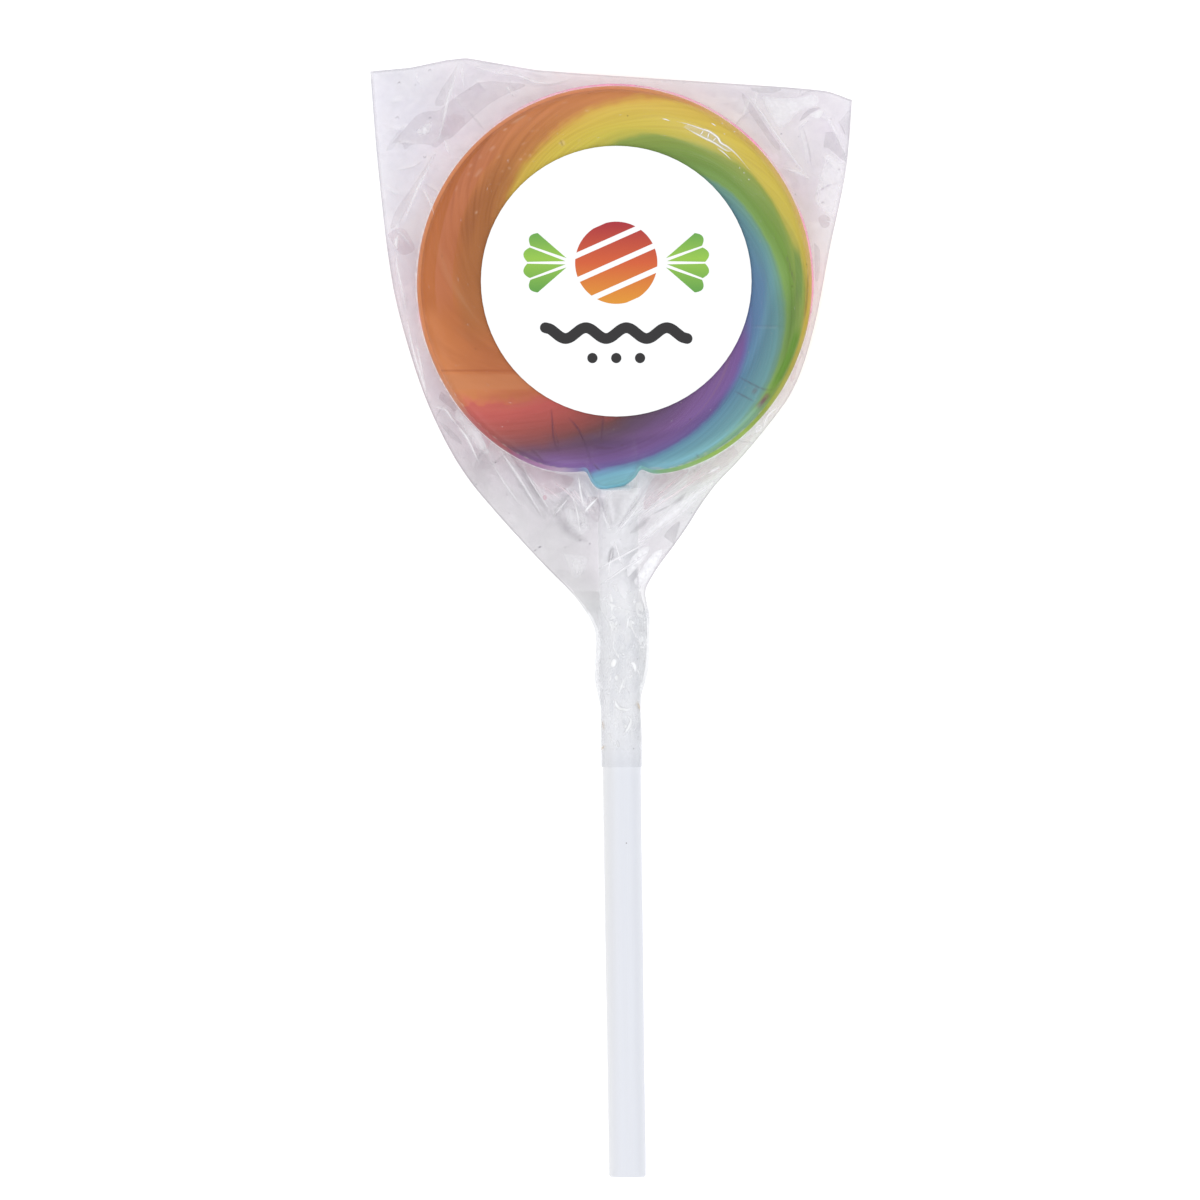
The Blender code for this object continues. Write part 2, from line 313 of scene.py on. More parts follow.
def add_creases(x, y, creases):
    """The height that creases add, and the bright and dark lines along them. Their sizes are in mm."""
    lift, bright, dark = np.zeros(x.shape), np.zeros(x.shape), np.zeros(x.shape)
    for points, width, height, gleam in creases:
        line = smooth_line(points) * MM if len(points) > 2 else np.array(points) * MM
        distance, side, way = along_line(x, y, line)
        taper = np.sin(math.pi * np.clip(way, 0.0, 1.0)) ** 0.6
        flank = 3 * width * MM * np.where(side > 0, 1.0, 0.6)
        fold = height * MM * taper * np.clip(1 - distance / flank, 0.0, 1.0) ** 1.3
        lift = np.where(abs(fold) > abs(lift), fold, lift)
        mark = abs(gleam) * taper * np.exp(-((distance / (0.45 * width * MM)) ** 2))
        target = bright if gleam > 0 else dark
        np.maximum(target, mark, out=target)
    return lift, bright, dark


class Outline:
    """How far a CAD node reaches at each y, or at each x, read from its mesh."""

    def __init__(self, node):
        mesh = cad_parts[node].data
        points = np.empty(len(mesh.vertices) * 3)
        mesh.vertices.foreach_get("co", points)
        edges = np.empty(len(mesh.edges) * 2, int)
        mesh.edges.foreach_get("vertices", edges)
        self.ends = points.reshape(-1, 3)[edges.reshape(-1, 2)]

    def reach(self, across, along, at, blur=0.0):
        """The lowest and highest place on one axis where the node is cut across another."""
        stations = np.linspace(self.ends[..., along].min(), self.ends[..., along].max(), 400)
        middles = (stations[1:] + stations[:-1]) / 2
        first, second = self.ends[:, 0], self.ends[:, 1]
        low, high = [], []
        for station in middles:
            before = first[:, along] - station
            after = second[:, along] - station
            crossing = before * after < 0
            share = before[crossing] / (before[crossing] - after[crossing])
            cut = mixed(first[crossing][:, across], second[crossing][:, across], share)
            low.append(cut.min())
            high.append(cut.max())
        width = max(int(blur / (middles[1] - middles[0])), 1)
        kernel = np.ones(width) / width
        smooth = [np.convolve(np.pad(edge, width, "edge"), kernel, "same")[width:-width]
                  for edge in (low, high)]
        return [np.interp(at, middles, edge) for edge in smooth]


# ---------------------------------------------------------------------------------------------
# Candy
# ---------------------------------------------------------------------------------------------

candy_low, candy_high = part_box("candy")
CANDY_RADIUS = (candy_high.x - candy_low.x) / 2
CANDY_BACK = candy_low.z
CANDY_FRONT = candy_high.z
CANDY_SPOKES = 800
CANDY_RING_STEP = 0.3 * MM
CANDY_FLAT_RINGS = 8

# The outline beside and round the nub, and where the disc is a little wider at the bottom: angle from
# the stick towards +X, and radius in mm.
NUB_OUTLINE = (
    (-68, CANDY_RADIUS / MM), (-58, 36.7), (-46, 36.9), (-34, 37.0), (-24, 36.9), (-18, 36.5),
    (-12, 35.7), (-9.6, 35.3), (-8.3, 35.5), (-6.8, 36.9), (-5.2, 37.9), (-3.4, 38.3), (-0.8, 38.1),
    (2.2, 37.7), (4.4, 37.0), (6.2, 36.1), (7.4, 35.1), (8.6, 34.9), (11.5, 35.9), (16, 36.4),
    (22, 36.7), (34, 36.9), (48, 36.8), (68, CANDY_RADIUS / MM),
)
# A cut through the candy from its front, outside the label, round the rim to its back: how far in
# from the outline, and how far up from the back.
CANDY_CUT = (
    (12.4, 10), (10.4, 10), (8, 9.93), (6, 9.8), (4, 9.56), (2.6, 9.3), (1.9, 9.12),
    (1.55, 9), (1.3, 8.8), (1.02, 8.45), (0.72, 8), (0.42, 7.3), (0.18, 6.4), (0.04, 5.5),
    (0, 4.8), (0.03, 4), (0.16, 3), (0.42, 2), (0.8, 1.2), (1.3, 0.62), (1.9, 0.25),
    (2.6, 0.05), (3.2, 0),
)
CANDY_CUT_TO_RIM = 15
NUB_BLUNTNESS = 0.35


def candy_outline(angle):
    """The candy's radius at an angle in degrees from the stick, towards +X."""
    nub = smooth_line(NUB_OUTLINE)
    return np.interp(angle, nub[:, 0], nub[:, 1] * MM)


def candy_rings():
    """Angles, and the radius and height of each ring of the candy at each of them."""
    angle = np.linspace(-180.0, 180.0, CANDY_SPOKES, endpoint=False)
    outline = candy_outline(angle)
    cut = even_steps(smooth_line(CANDY_CUT, steps=4) * MM, CANDY_RING_STEP)
    blunt = ease(outline, CANDY_RADIUS, CANDY_RADIUS + 0.8 * MM) * ease(-abs(angle), -9.0, -7.0)
    steep = cut[:, 0] * mixed(NUB_BLUNTNESS, 1.0, ease(cut[:, 0], 0.0, 3 * MM))
    share = np.linspace(0.0, 1.0, CANDY_FLAT_RINGS, endpoint=False)
    front = [(s * (outline - cut[0, 0]), cut[0, 1]) for s in share]
    rim = [(outline - mixed(inset, near, blunt), height) for (inset, height), near in zip(cut, steep)]
    back = [(s * (outline - cut[-1, 0]), 0.0) for s in share[::-1]]
    radius = np.array([ring[0] for ring in front + rim + back])
    height = np.array([np.full(CANDY_SPOKES, ring[1]) for ring in front + rim + back])
    return np.radians(angle), radius, height, outline - radius


# The swirl: where each colour starts, as points (radius in mm, clockwise degrees from +Y). The
# colours are orange, yellow, green, blue, purple and red.
SWIRL_FROM = 25.0
SWIRL_TWIST_INSIDE = 10.8
SWIRL_EDGES = (
    ((25, 213), (28, 218), (32, 224.5), (36.6, 232), (39, 236)),
    ((25, 307), (27, 320), (28.2, 330), (30.3, 342.5), (31.8, 350), (33.8, 363), (35.3, 373),
     (36.6, 390), (39, 410)),
    ((25, 357), (28, 372), (28.7, 377), (29, 385), (30.7, 400), (32.3, 411), (32.6, 420),
     (33.3, 434), (34.6, 442), (35.4, 452), (35.9, 475), (36.6, 497), (39, 505)),
    ((25, 396), (27, 412), (28.7, 430), (29.9, 444), (32, 460), (33.5, 476), (34.9, 496),
     (35.5, 515), (36.6, 528), (39, 530)),
    ((25, 457), (27.7, 480), (29.8, 498), (32, 522), (33.8, 540), (35.1, 546), (39, 556)),
    ((25, 533), (26.8, 540), (28.7, 550), (30.8, 558.6), (33.6, 566), (36.6, 573.5), (39, 579)),
)
# Their colours beside the label and near the rim: 0 to 1 is orange, 1 to 2 yellow, and so on.
SWIRL_INNER = (
    (0, (188, 98, 82)), (0.08, (188, 111, 72)), (0.35, (180, 110, 66)), (0.82, (170, 110, 62)),
    (0.95, (197, 138, 74)), (1.03, (208, 172, 76)), (1.2, (210, 184, 78)), (1.65, (208, 191, 80)),
    (1.92, (186, 180, 80)), (2.04, (140, 158, 76)), (2.55, (118, 148, 72)), (2.92, (124, 158, 88)),
    (3.03, (106, 150, 132)), (3.3, (97, 140, 150)), (3.9, (92, 126, 163)), (4.04, (106, 100, 156)),
    (4.12, (120, 90, 150)), (4.5, (122, 90, 142)), (4.75, (106, 80, 120)), (4.95, (96, 74, 94)),
    (5.12, (105, 70, 74)), (5.35, (138, 76, 74)), (5.6, (164, 83, 78)), (5.88, (190, 93, 88)),
    (6, (188, 97, 84)),
)
SWIRL_OUTER = (
    (0, (207, 112, 92)), (0.04, (210, 134, 86)), (0.22, (197, 120, 70)), (0.5, (190, 112, 66)),
    (0.94, (206, 136, 84)), (1.03, (218, 174, 84)), (1.1, (221, 188, 88)), (1.5, (214, 191, 84)),
    (1.85, (204, 186, 80)), (1.97, (180, 174, 80)), (2.06, (150, 164, 74)), (2.3, (132, 158, 78)),
    (2.68, (114, 151, 62)), (2.9, (132, 170, 92)), (3.04, (117, 164, 138)), (3.22, (122, 175, 178)),
    (3.85, (120, 174, 194)), (3.95, (114, 156, 188)), (4.06, (120, 106, 166)), (4.35, (134, 102, 164)),
    (4.65, (122, 90, 138)), (4.9, (112, 80, 104)), (5.08, (136, 82, 86)), (5.4, (166, 88, 82)),
    (5.8, (194, 96, 90)), (6, (200, 103, 92)),
)
# The rounded rim, by clockwise degrees from +Y, and how far in from the outline it begins.
RIM_STARTS = 0.72 * MM
# The rim's colours are painted lighter and more saturated than the bands beside it: painted light against
# the shade of the rim, which is turned away from the light.
RIM_COLOURS = (
    (0, (232, 140, 70)), (22, (226, 156, 74)), (34, (226, 188, 82)), (88, (220, 184, 84)),
    (98, (202, 176, 0)), (116, (170, 166, 0)), (130, (158, 180, 24)), (150, (154, 200, 60)),
    (166, (136, 190, 120)), (173, (130, 196, 206)), (187, (126, 192, 216)), (191, (150, 130, 190)),
    (196, (206, 182, 206)), (202, (196, 142, 190)), (208, (166, 106, 160)), (213, (168, 84, 90)),
    (219, (190, 90, 88)), (227, (206, 110, 108)), (233, (222, 148, 104)),
    (246, (222, 134, 70)), (285, (222, 132, 68)), (360, (232, 140, 70)),
)
# Patches of other colour in the bands: from and to in clockwise degrees, from and to in mm of radius,
# how soft their ends are in degrees and their sides in mm, their colour and its share.
SWIRL_PATCHES = (
    ((262, 320), (33.15, 37), (3, 0.1), (180, 102, 50), 0.6),
    ((262, 318), (30, 33.15), (6, 0.12), (188, 113, 80), 0.5),
    ((250, 318), (24, 29), (8, 1), (166, 106, 62), 0.5),
    ((286, 304), (27.2, 29.8), (5, 0.6), (148, 90, 58), 0.35),
    ((105, 122), (34.4, 35.6), (3, 0.2), (96, 144, 44), 0.8),
    ((80, 95), (33.5, 34.7), (3, 0.2), (110, 144, 74), 0.7),
    ((88, 100), (35.5, 35.9), (2, 0.12), (140, 128, 50), 0.5),
    ((85, 110), (24, 28), (8, 0.6), (92, 124, 162), 0.6),
    ((125.8, 131), (34.6, 35.5), (0.9, 0.3), (126, 98, 86), 0.7),
    ((127.4, 129.6), (34.8, 35.3), (0.6, 0.2), (116, 66, 62), 0.7),
    ((126.6, 128.6), (32.3, 33.1), (0.8, 0.3), (126, 100, 112), 0.4),
    ((94, 190), (29, 34.2), (8, 0.8), (20, 26, 56), 0.24),
    ((130, 176), (34.7, 36.6), (5, 0.2), (138, 196, 220), 0.3),
    ((318, 352), (31, 34.4), (8, 0.5), (206, 132, 92), 0.2),
)
# From where to where the patches' sides climb outwards in the orange, and by how many mm.
PATCH_CLIMB = (278.0, 322.0)
PATCH_CLIMB_REACH = 2.2
# The straight band that was poured last, across the orange at the lower left.
POUR_X = (-33 * MM, -16 * MM)
POUR_TOP = -16.9 * MM
POUR_END = -19.7 * MM

# Cracks as dark lines and painted highlights as bright ones: short glints on the orange, beside a crack,
# at the notch and across the rim. Points as (clockwise degrees from +Y, radius in mm), with how dark or
# bright they are.
CANDY_MARKS = (
    (((184.8, 29.6), (184.8, 24.9)), -0.7),
    (((190.4, 30.3), (194.3, 27.7), (199, 26.3)), -0.7),
    (((198.6, 32.9), (201.7, 30.6), (204.3, 28), (206.9, 25.9)), -0.7),
    (((180, 30.55), (184.5, 30.55), (189, 30.55)), -0.5),
    (((184.3, 34.8), (187, 33.6)), -0.6),
    (((201.7, 35.5), (206.9, 34.3)), -0.6),
    (((123.6, 35.5), (125.6, 33.6), (127.2, 28.6)), -0.45),
    (((130.4, 33.8), (132, 29.9)), -0.45),
    (((339.2, 28.2), (339.2, 27)), -0.5),
    (((340, 28.2), (340, 27)), 0.35),
    (((323.8, 34.8), (325.2, 34.9)), 0.35),
    (((326.9, 35.1), (332.5, 35.1)), 0.35),
    (((316.6, 33.6), (319, 33.6)), 0.35),
    (((307, 32.4), (311, 32.4)), 0.35),
    (((316.9, 28.8), (318.1, 28.8)), 0.35),
    (((322.1, 28.8), (323.3, 28.7)), 0.35),
    (((325.8, 28.2), (327, 28.3)), 0.35),
    (((296.4, 28.7), (297.6, 28.7)), 0.35),
    (((80.6, 32.1), (85.3, 32.7)), -0.35),
    (((84, 32.3), (87.5, 32.9), (89.9, 33.1)), -0.45),
    (((107.4, 26.4), (104.3, 32.4)), -0.15),
    (((154.6, 35), (154.2, 36.1)), -0.5),
    (((151.9, 35.5), (152, 36.8)), 0.8),
    (((172.4, 34.1), (171.5, 34.6), (169, 34.9), (165.5, 35.3)), 0.6),
)
# In mm: how wide their lines are, and how deep the dark ones are cut.
MARK_WIDTH = 0.34
MARK_DEPTH = 0.10
# How wide the streaks of the pulled sugar are spread round the swirl.
STREAK_SPREAD = 22 * MM


def polar(points):
    """(x, y) in mm from clockwise degrees from +Y and radius in mm."""
    turn, radius = np.radians([p[0] for p in points]), np.array([p[1] for p in points])
    return np.stack([radius * np.sin(turn), radius * np.cos(turn)], axis=-1)


def candy_marks():
    """Grooves of the cracks, and fine bright lines that are painted highlights."""
    marks = []
    for points, gleam in CANDY_MARKS:
        marks.append((polar(points), MARK_WIDTH, -MARK_DEPTH * (gleam < 0), gleam))
    # Short bright dashes on the orange: painted highlights.
    for _ in range(22):
        turn, radius = RNG.uniform(298, 352), RNG.uniform(27.0, 35.0)
        short = polar([(turn, radius), (turn + RNG.uniform(0.8, 2.0), radius + RNG.uniform(-0.2, 0.2))])
        marks.append((short, MARK_WIDTH, 0.0, RNG.uniform(0.08, 0.22)))
    return marks


def swirl_band(x, y):
    """Where a point lies in the swirl, from 0 where orange starts to 6 where red ends."""
    radius = np.hypot(x, y) / MM
    inside = np.minimum(radius - SWIRL_FROM, 0.0) * SWIRL_TWIST_INSIDE
    starts = []
    for edge in SWIRL_EDGES:
        at, turn = np.array(edge).T
        smooth = [np.interp(radius + shift, at, turn) for shift in (-0.3, 0.0, 0.3)]
        starts.append(sum(smooth) / 3 + inside)
    starts.append(starts[0] + 360.0)
    turned = starts[0] + (np.degrees(np.arctan2(x, y)) - starts[0]) % 360.0
    return sum(np.clip((turned - a) / (b - a), 0.0, 1.0) for a, b in zip(starts, starts[1:]))


def make_candy(material):
    angle, radius, height, inset = candy_rings()
    x = radius * np.sin(angle)
    y = -radius * np.cos(angle)
    turn = swirl_band(x, y) * math.pi / 3
    low_waves = 0.5 * np.cos(5 * turn) + 0.3 * np.cos(11 * turn + 1.0) + 0.2 * np.cos(17 * turn)
    groove, light, dark = add_creases(x, y, candy_marks())
    on_front = ease(height, 0.8 * CANDY_CUT[0][1] * MM, 0.9 * CANDY_CUT[0][1] * MM)
    relief = (low_waves * 0.05 * MM * ease(radius, 22 * MM, 27 * MM) + groove) * on_front
    z = CANDY_BACK + np.minimum(height + relief, CANDY_FRONT - CANDY_BACK)
    stored = {
        "swirl_cosine": np.cos(turn),
        "swirl_sine": np.sin(turn),
        "inset": inset,
        "light": light * on_front,
        "dark": dark * on_front,
    }
    faces = grid_faces(*radius.shape, closed=True)
    points = np.stack([x, y, z], axis=-1)
    candy = new_piece("candy_swirl", points, faces, material, replaces="candy", stored=stored)
    weld = candy.modifiers.new("Close middle", "WELD")
    weld.merge_threshold = 0.01 * MM


def band_ramp(s, share, stops, top):
    return s.ramp(share / top, [(at / top, linear(*colour)) for at, colour in stops])


def window(value, start, end, soft):
    """1 from start to end, 0 outside, with soft ends."""
    return value.between(start - soft, start + soft) * value.between(end + soft, end - soft)


def banded_colour(s, x, y, radius, angle, band):
    """The bands of the swirl, the patches in them, and the straight band that was poured last."""
    inner = band_ramp(s, band, SWIRL_INNER, 6.0)
    colour = s.mix(radius.between(25.5, 35.0), inner, band_ramp(s, band, SWIRL_OUTER, 6.0))
    climbing = radius - angle.between(*PATCH_CLIMB) * PATCH_CLIMB_REACH
    for turns, reach, (soft_turn, soft_reach), other, share in SWIRL_PATCHES:
        patch = window(angle, *turns, soft_turn) * window(climbing, *reach, soft_reach)
        colour = s.mix(patch * share, colour, linear(*other))
    pour = x.between(POUR_X[0] - 2 * MM, POUR_X[0]) * x.between(POUR_X[1] + 1 * MM, POUR_X[1])
    poured = window(y, POUR_END, POUR_TOP, 0.3 * MM)
    line = window(y, POUR_TOP + 0.5 * MM, POUR_TOP + 0.9 * MM, 0.15 * MM)
    return s.layers(colour, (pour * poured * 0.5, 200, 132, 90), (pour * line * 0.5, 172, 94, 56))


def grained_colour(s, colour, angle, along):
    """A colour with the streaks, strands, wisps, bubbles and specks of pulled sugar in it."""
    streaks = s.noise(1.3 * MM, along, detail=4.0, roughness=0.62).between(0.30, 0.72)
    colour = s.stained(streaks * 0.30 - 0.06, colour, linear(214, 200, 190))
    strands = s.noise(0.6 * MM, along, detail=2.0).between(0.40, 0.62)
    strands = strands * (window(angle, 285.0, 345.0, 12.0) * 0.16 + 0.04)
    colour = s.stained(strands, colour, linear(196, 176, 160))
    wisps = s.noise(2.6 * MM, along, detail=3.0).between(0.60, 0.80)
    wisps = wisps * (window(angle, 240.0, 350.0, 20.0) * 0.12 + 0.05)
    bubbles = s.cells(2.1 * MM).between(0.055, 0.030) * 0.18
    specks = s.cells(4.7 * MM).between(0.040, 0.022) * 0.5
    return s.layers(colour, (wisps, 232, 190, 150), (bubbles, 235, 228, 205), (specks, 86, 60, 52))


def rimmed_colour(s, colour, angle, inset, rim):
    """A colour with the rim's own colours, painted lighter against its shade, a painted highlight as a
    dotted light line beside it, and the cracks and the painted glints.
    """
    colour = s.mix(rim * 0.9, colour, band_ramp(s, angle, RIM_COLOURS, 360.0))
    # Painted highlight: a dotted light line along the shoulder, just inside where the rim begins, on the
    # right and along the bottom.
    dots = s.noise(1.1 * MM, detail=3.0).between(0.42, 0.66)
    edge = window(inset, RIM_STARTS, RIM_STARTS + 0.16 * MM, 0.10 * MM)
    shoulder_highlight = window(angle, 130.0, 172.0, 3.0) + window(angle, 195.0, 245.0, 4.0)
    shoulder_highlight = shoulder_highlight + window(angle, 60.0, 95.0, 4.0) * 0.4
    return s.layers(
        colour,
        (edge * dots * shoulder_highlight * 0.40, 226, 214, 200),
        (s.stored("dark"), 84, 54, 74),
        (s.stored("light"), 236, 206, 180),
    )


def candy_material():
    s = Surface("boiled_sugar_swirl")
    x, y, _ = s.xyz()
    radius = (x * x + y * y).math("SQRT") / MM
    angle = (x.math("ARCTAN2", y) * (180 / math.pi)).math("FLOORED_MODULO", 360.0)
    cosine, sine, inset = s.stored("swirl_cosine"), s.stored("swirl_sine"), s.stored("inset")
    ripple = (s.noise(6 * MM) - 0.5) * 0.10 + (s.noise(1.6 * MM) - 0.5) * 0.07
    band = (sine.math("ARCTAN2", cosine) * (3 / math.pi) + ripple).math("FLOORED_MODULO", 6.0)
    along = s.vector(cosine * STREAK_SPREAD, sine * STREAK_SPREAD, radius * (0.16 * MM))
    rim = inset.between(RIM_STARTS + 0.12 * MM, RIM_STARTS - 0.12 * MM)
    colour = banded_colour(s, x, y, radius, angle, band)
    colour = grained_colour(s, colour, angle, along)
    colour = rimmed_colour(s, colour, angle, inset, rim)
    lumps = s.noise(1.1 * MM, along, detail=3.0) * 0.5 + s.noise(5 * MM) * 0.8
    return s.finish(s.principled(
        Base_Color=colour,
        Roughness=s.noise(6 * MM).between(0.2, 0.9) * 0.12 + rim * 0.2 + 0.16,
        Specular_IOR_Level=0.18,
        Normal=s.relief(lumps, 0.05 * MM),
    ))


# ---------------------------------------------------------------------------------------------
# Film bag
# ---------------------------------------------------------------------------------------------

bag_low, bag_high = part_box("bag")
bag = Outline("bag")
AXIS_HEIGHT = (CANDY_BACK + CANDY_FRONT) / 2
SEAM_HEIGHT = 3.0 * MM
FILM_BACK_HEIGHT = 0.35 * MM
TOP_END = 30.0 * MM
FILM_END = -61.0 * MM
FILM_COLUMNS = 250
FILM_ROWS = 360
FILM_CLEARANCE = 0.14 * MM
UNDER_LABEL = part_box("label")[0].z - 0.04 * MM
# Within this distance of the middle the film stays under the label.
LABEL_REACH = 26.5 * MM
# Where the front sheet is highest off the candy, and how far beside the stick's line it starts to fall.
RIDGE_HEIGHT = CANDY_BACK + 9.0 * MM
BESIDE_STICK = 3.4 * MM
STICK_TILT = math.radians(0.83)
GATHER = (-0.5, -46.6)
# The pleats round it: how many, from which to which direction in clockwise degrees from +Y, and how
# long at most. Then how bright and how wide in mm a pleat can be: a bright pleat is a painted highlight
# and a dark one painted shade.
PLEATS = ((12, -60, -16, 15.0), (9, -12, 26, 9.0), (34, 26, 57, 27.0))
PLEAT_LOOKS = (
    (-0.16, 1.0), (-0.24, 0.5), (-0.12, 1.8), (0.20, 1.8), (0.32, 1.0), (0.45, 0.6), (0.60, 0.35),
)
FUNNEL_STEP = 0.1 * MM
FUNNEL_REACH = 28 * MM

# Creases in the film, in millimetres: points along each, how wide its line is, how high it stands,
# and how bright its line is. A bright line is a painted highlight along the crease and a negative
# brightness a dark line of painted shade; the short dark ones at the end are specks.
CREASES = (
    (((-29.1, 40.8), (-29.9, 37.1), (-30.9, 33.9), (-31.6, 30.4), (-32.6, 26.2)), 0.7, 0.7, 0.49),
    (((-28.3, 40.8), (-28.2, 38.8), (-27.8, 35.8)), 0.5, 0.4, 0.32),
    (((-28.2, 41), (-22.2, 39.2), (-18.3, 38.7), (-14.1, 37.2), (-9.2, 37)), 0.6, 0.4, 0.35),
    (((-27, 41.4), (-21.5, 39.9), (-16, 38.9), (-12, 38)), 0.9, 0.2, -0.05),
    (((-33.1, 24.5), (-35, 20.3), (-36.3, 17.8), (-37.8, 14.3), (-38.8, 11.6)), 0.6, 0.6, 0.42),
    (((-39.2, 13.2), (-40.3, 10.2), (-38.6, 8.2), (-37.4, 6.4)), 0.5, 0.4, 0.24),
    (((-40, 9.1), (-40.5, 7.7), (-40.4, 6.2)), 0.8, 0.4, 0.63),
    (((-40.4, 5.5), (-40.3, 3.2), (-39.5, -0.5), (-38.6, -4.7)), 0.5, 0.6, 0.45),
    (((-38.6, -6), (-37.3, -12.3), (-35.5, -18.2), (-34.7, -21.2)), 0.5, 0.5, 0.6),
    (((-36.8, -10.5), (-36, -14.5), (-34.9, -20.1)), 0.4, 0.5, 0.45),
    (((24.2, 35.9), (25.6, 34), (28.9, 28.9), (31.8, 24.9), (34, 21.8), (36.2, 19.3)), 0.6, 0.6, 0.39),
    (((25.1, 34.4), (23.8, 30.9)), 1, 0.4, 0.32),
    (((38.7, 32.2), (40, 29.8), (41.3, 27.1), (43.1, 23.1)), 0.6, 0.6, 0.42),
    (((41.3, 30.4), (42.4, 28.4), (42.9, 26.8)), 0.35, 0.2, -0.15),
    (((34.7, 29.3), (35.4, 27.1), (35.9, 24.9), (36.2, 23.1), (36.4, 21.5)), 0.35, 0.5, -0.17),
    (((34.2, 29.2), (34.9, 27), (35.4, 24.8), (35.8, 22)), 0.8, 0.3, 0.24),
    (((36.2, 30.6), (34, 28.6)), 0.4, 0.3, 0.39),
    (((31.3, 21.3), (34, 20.4), (36.2, 19.3)), 0.7, 0.5, 0.42),
    (((39.5, 2.5), (39, 0.3), (38.4, -2)), 0.5, 0.4, 0.42),
    (((38.2, -6), (37.3, -11), (35.8, -15.5)), 0.5, 0.4, 0.4),
    (((-34, -22.9), (-31.5, -23.3), (-30.2, -24.9), (-28.8, -26.6)), 0.5, 0.4, 0.45),
    (((-29.1, -26.3), (-27.2, -28.8), (-25, -33.4)), 0.6, 0.4, 0.65),
    (((-21.2, -30.9), (-18, -35.5), (-13.1, -43.4)), 0.6, 0.6, 0.45),
    (((-19.9, -33.6), (-16.6, -38.6), (-13.6, -43.2)), 0.5, -0.3, -0.17),
    (((-11.2, -42.1), (-9.4, -40.2), (-7.4, -38)), 0.4, -0.3, -0.2),
    (((-11.7, -43.7), (-10, -41.6), (-8.2, -39.3)), 0.5, 0.4, 0.45),
    (((-11.2, -41.6), (-9.6, -44.4), (-7.5, -46.6), (-4.9, -47.9)), 1.9, -0.5, -0.2),
    (((-19.4, -31.5), (-15.5, -37.5), (-11.9, -43.2)), 1.1, -0.3, -0.2),
    (((-17.6, -33), (-14.5, -38.2), (-11.4, -42.8)), 0.5, 0.4, 0.35),
    (((-24.5, -30), (-20.6, -36.6), (-17, -41.6)), 0.4, 0.3, 0.3),
    (((-6.7, -35.5), (-6.3, -38.6), (-5.6, -41.8)), 0.45, 0.5, 0.8),
    (((-5.7, -42.5), (-4.6, -41.2), (-3, -39.6)), 0.6, 0.5, 1),
    (((-7.9, -39.1), (-6.9, -42.6), (-6.3, -46.7)), 0.45, 0.4, 0.7),
    (((3.5, -48.8), (6.6, -46), (11.5, -42.1), (15, -39.2), (19.5, -35.9)), 2, 0.6, 0.62),
    (((10.4, -41), (11.9, -40.1), (13.2, -38.8)), 0.8, -0.3, -0.25),
    (((6.6, -43), (8.6, -41.9), (10.6, -41)), 0.4, -0.3, -0.2),
    (((2.8, -46.3), (5, -44.6), (6.6, -43.2)), 1.1, -0.4, -0.25),
    (((7.9, -52.3), (9.8, -50), (11.5, -47.9)), 0.8, -0.3, -0.15),
    (((-0.4, -48.6), (-0.7, -50.2), (-1.2, -51.7)), 0.9, -0.5, -0.38),
    (((-3, -52.8), (0, -51.2), (2.8, -49.7), (6.6, -47.4)), 0.5, 0.5, 0.8),
    (((-2.8, -55.9), (2.8, -52.1), (6.1, -49.9)), 0.5, 0.5, 0.7),
    (((0, -47.8), (-0.8, -51.2), (-1.2, -54.1)), 0.45, 0.4, 0.75),
    (((0, -47.7), (0.7, -50), (1.5, -52.3)), 0.4, 0.4, 0.65),
    (((4.5, -41.2), (2.6, -43.6), (0.3, -46.4)), 0.5, 0.5, 0.75),
    (((30.5, -22.7), (28.9, -23.9), (27.9, -25.4), (27.3, -27.6)), 0.45, 0.4, 0.65),
    (((17.3, -35.2), (19.7, -33.8)), 0.7, 0.4, 0.6),
    (((-11.4, -25.3), (-10.6, -29), (-9.7, -33.1)), 0.35, 0, -0.15),
    (((-7.9, -25.3), (-5.5, -29.4), (-4.2, -34.5)), 0.35, 0, -0.15),
    (((-40.3, 36.9), (-39.9, 37.4), (-39.6, 37)), 0.25, 0, -0.4),
    (((-40.7, 30.5), (-40.2, 30.9), (-39.9, 30.4)), 0.25, 0, -0.35),
    (((-34.6, 39.3), (-34.2, 39.7), (-33.9, 39.3)), 0.25, 0, -0.3),
    (((-34.5, 30.2), (-34.1, 30.7), (-33.7, 30.3)), 0.25, 0, -0.4),
    (((-35.5, 23.6), (-35.1, 23.2), (-34.8, 23.8)), 0.25, 0, -0.35),
    (((38.1, 14.7), (38.6, 15.1), (38.9, 14.7)), 0.25, 0, -0.35),
    (((30.6, 27.5), (31, 27.7)), 0.35, 0, -0.6),
    (((41.4, 21.1), (41.8, 21.3)), 0.35, 0, -0.5),
    (((33.9, 27), (34.2, 27.2)), 0.25, 0, -0.4),
    (((-14.2, -49), (-13.5, -48.6)), 0.4, 0, -0.7),
    (((-15, -49.6), (-14.4, -49.2)), 0.3, 0, -0.55),
    (((-25.9, -37.4), (-25.4, -37)), 0.3, 0, -0.4),
    (((-22.2, -33.3), (-21.9, -33.1)), 0.3, 0, -0.5),
    (((-4.8, -48.3), (-4.4, -48.1)), 0.35, 0, -0.6),
    (((35.8, -12.1), (36, -11.9)), 0.35, 0, -0.7),
    (((-6.7, -47.2), (-6.4, -47.6), (-6, -47.3)), 0.25, 0, -0.35),
)
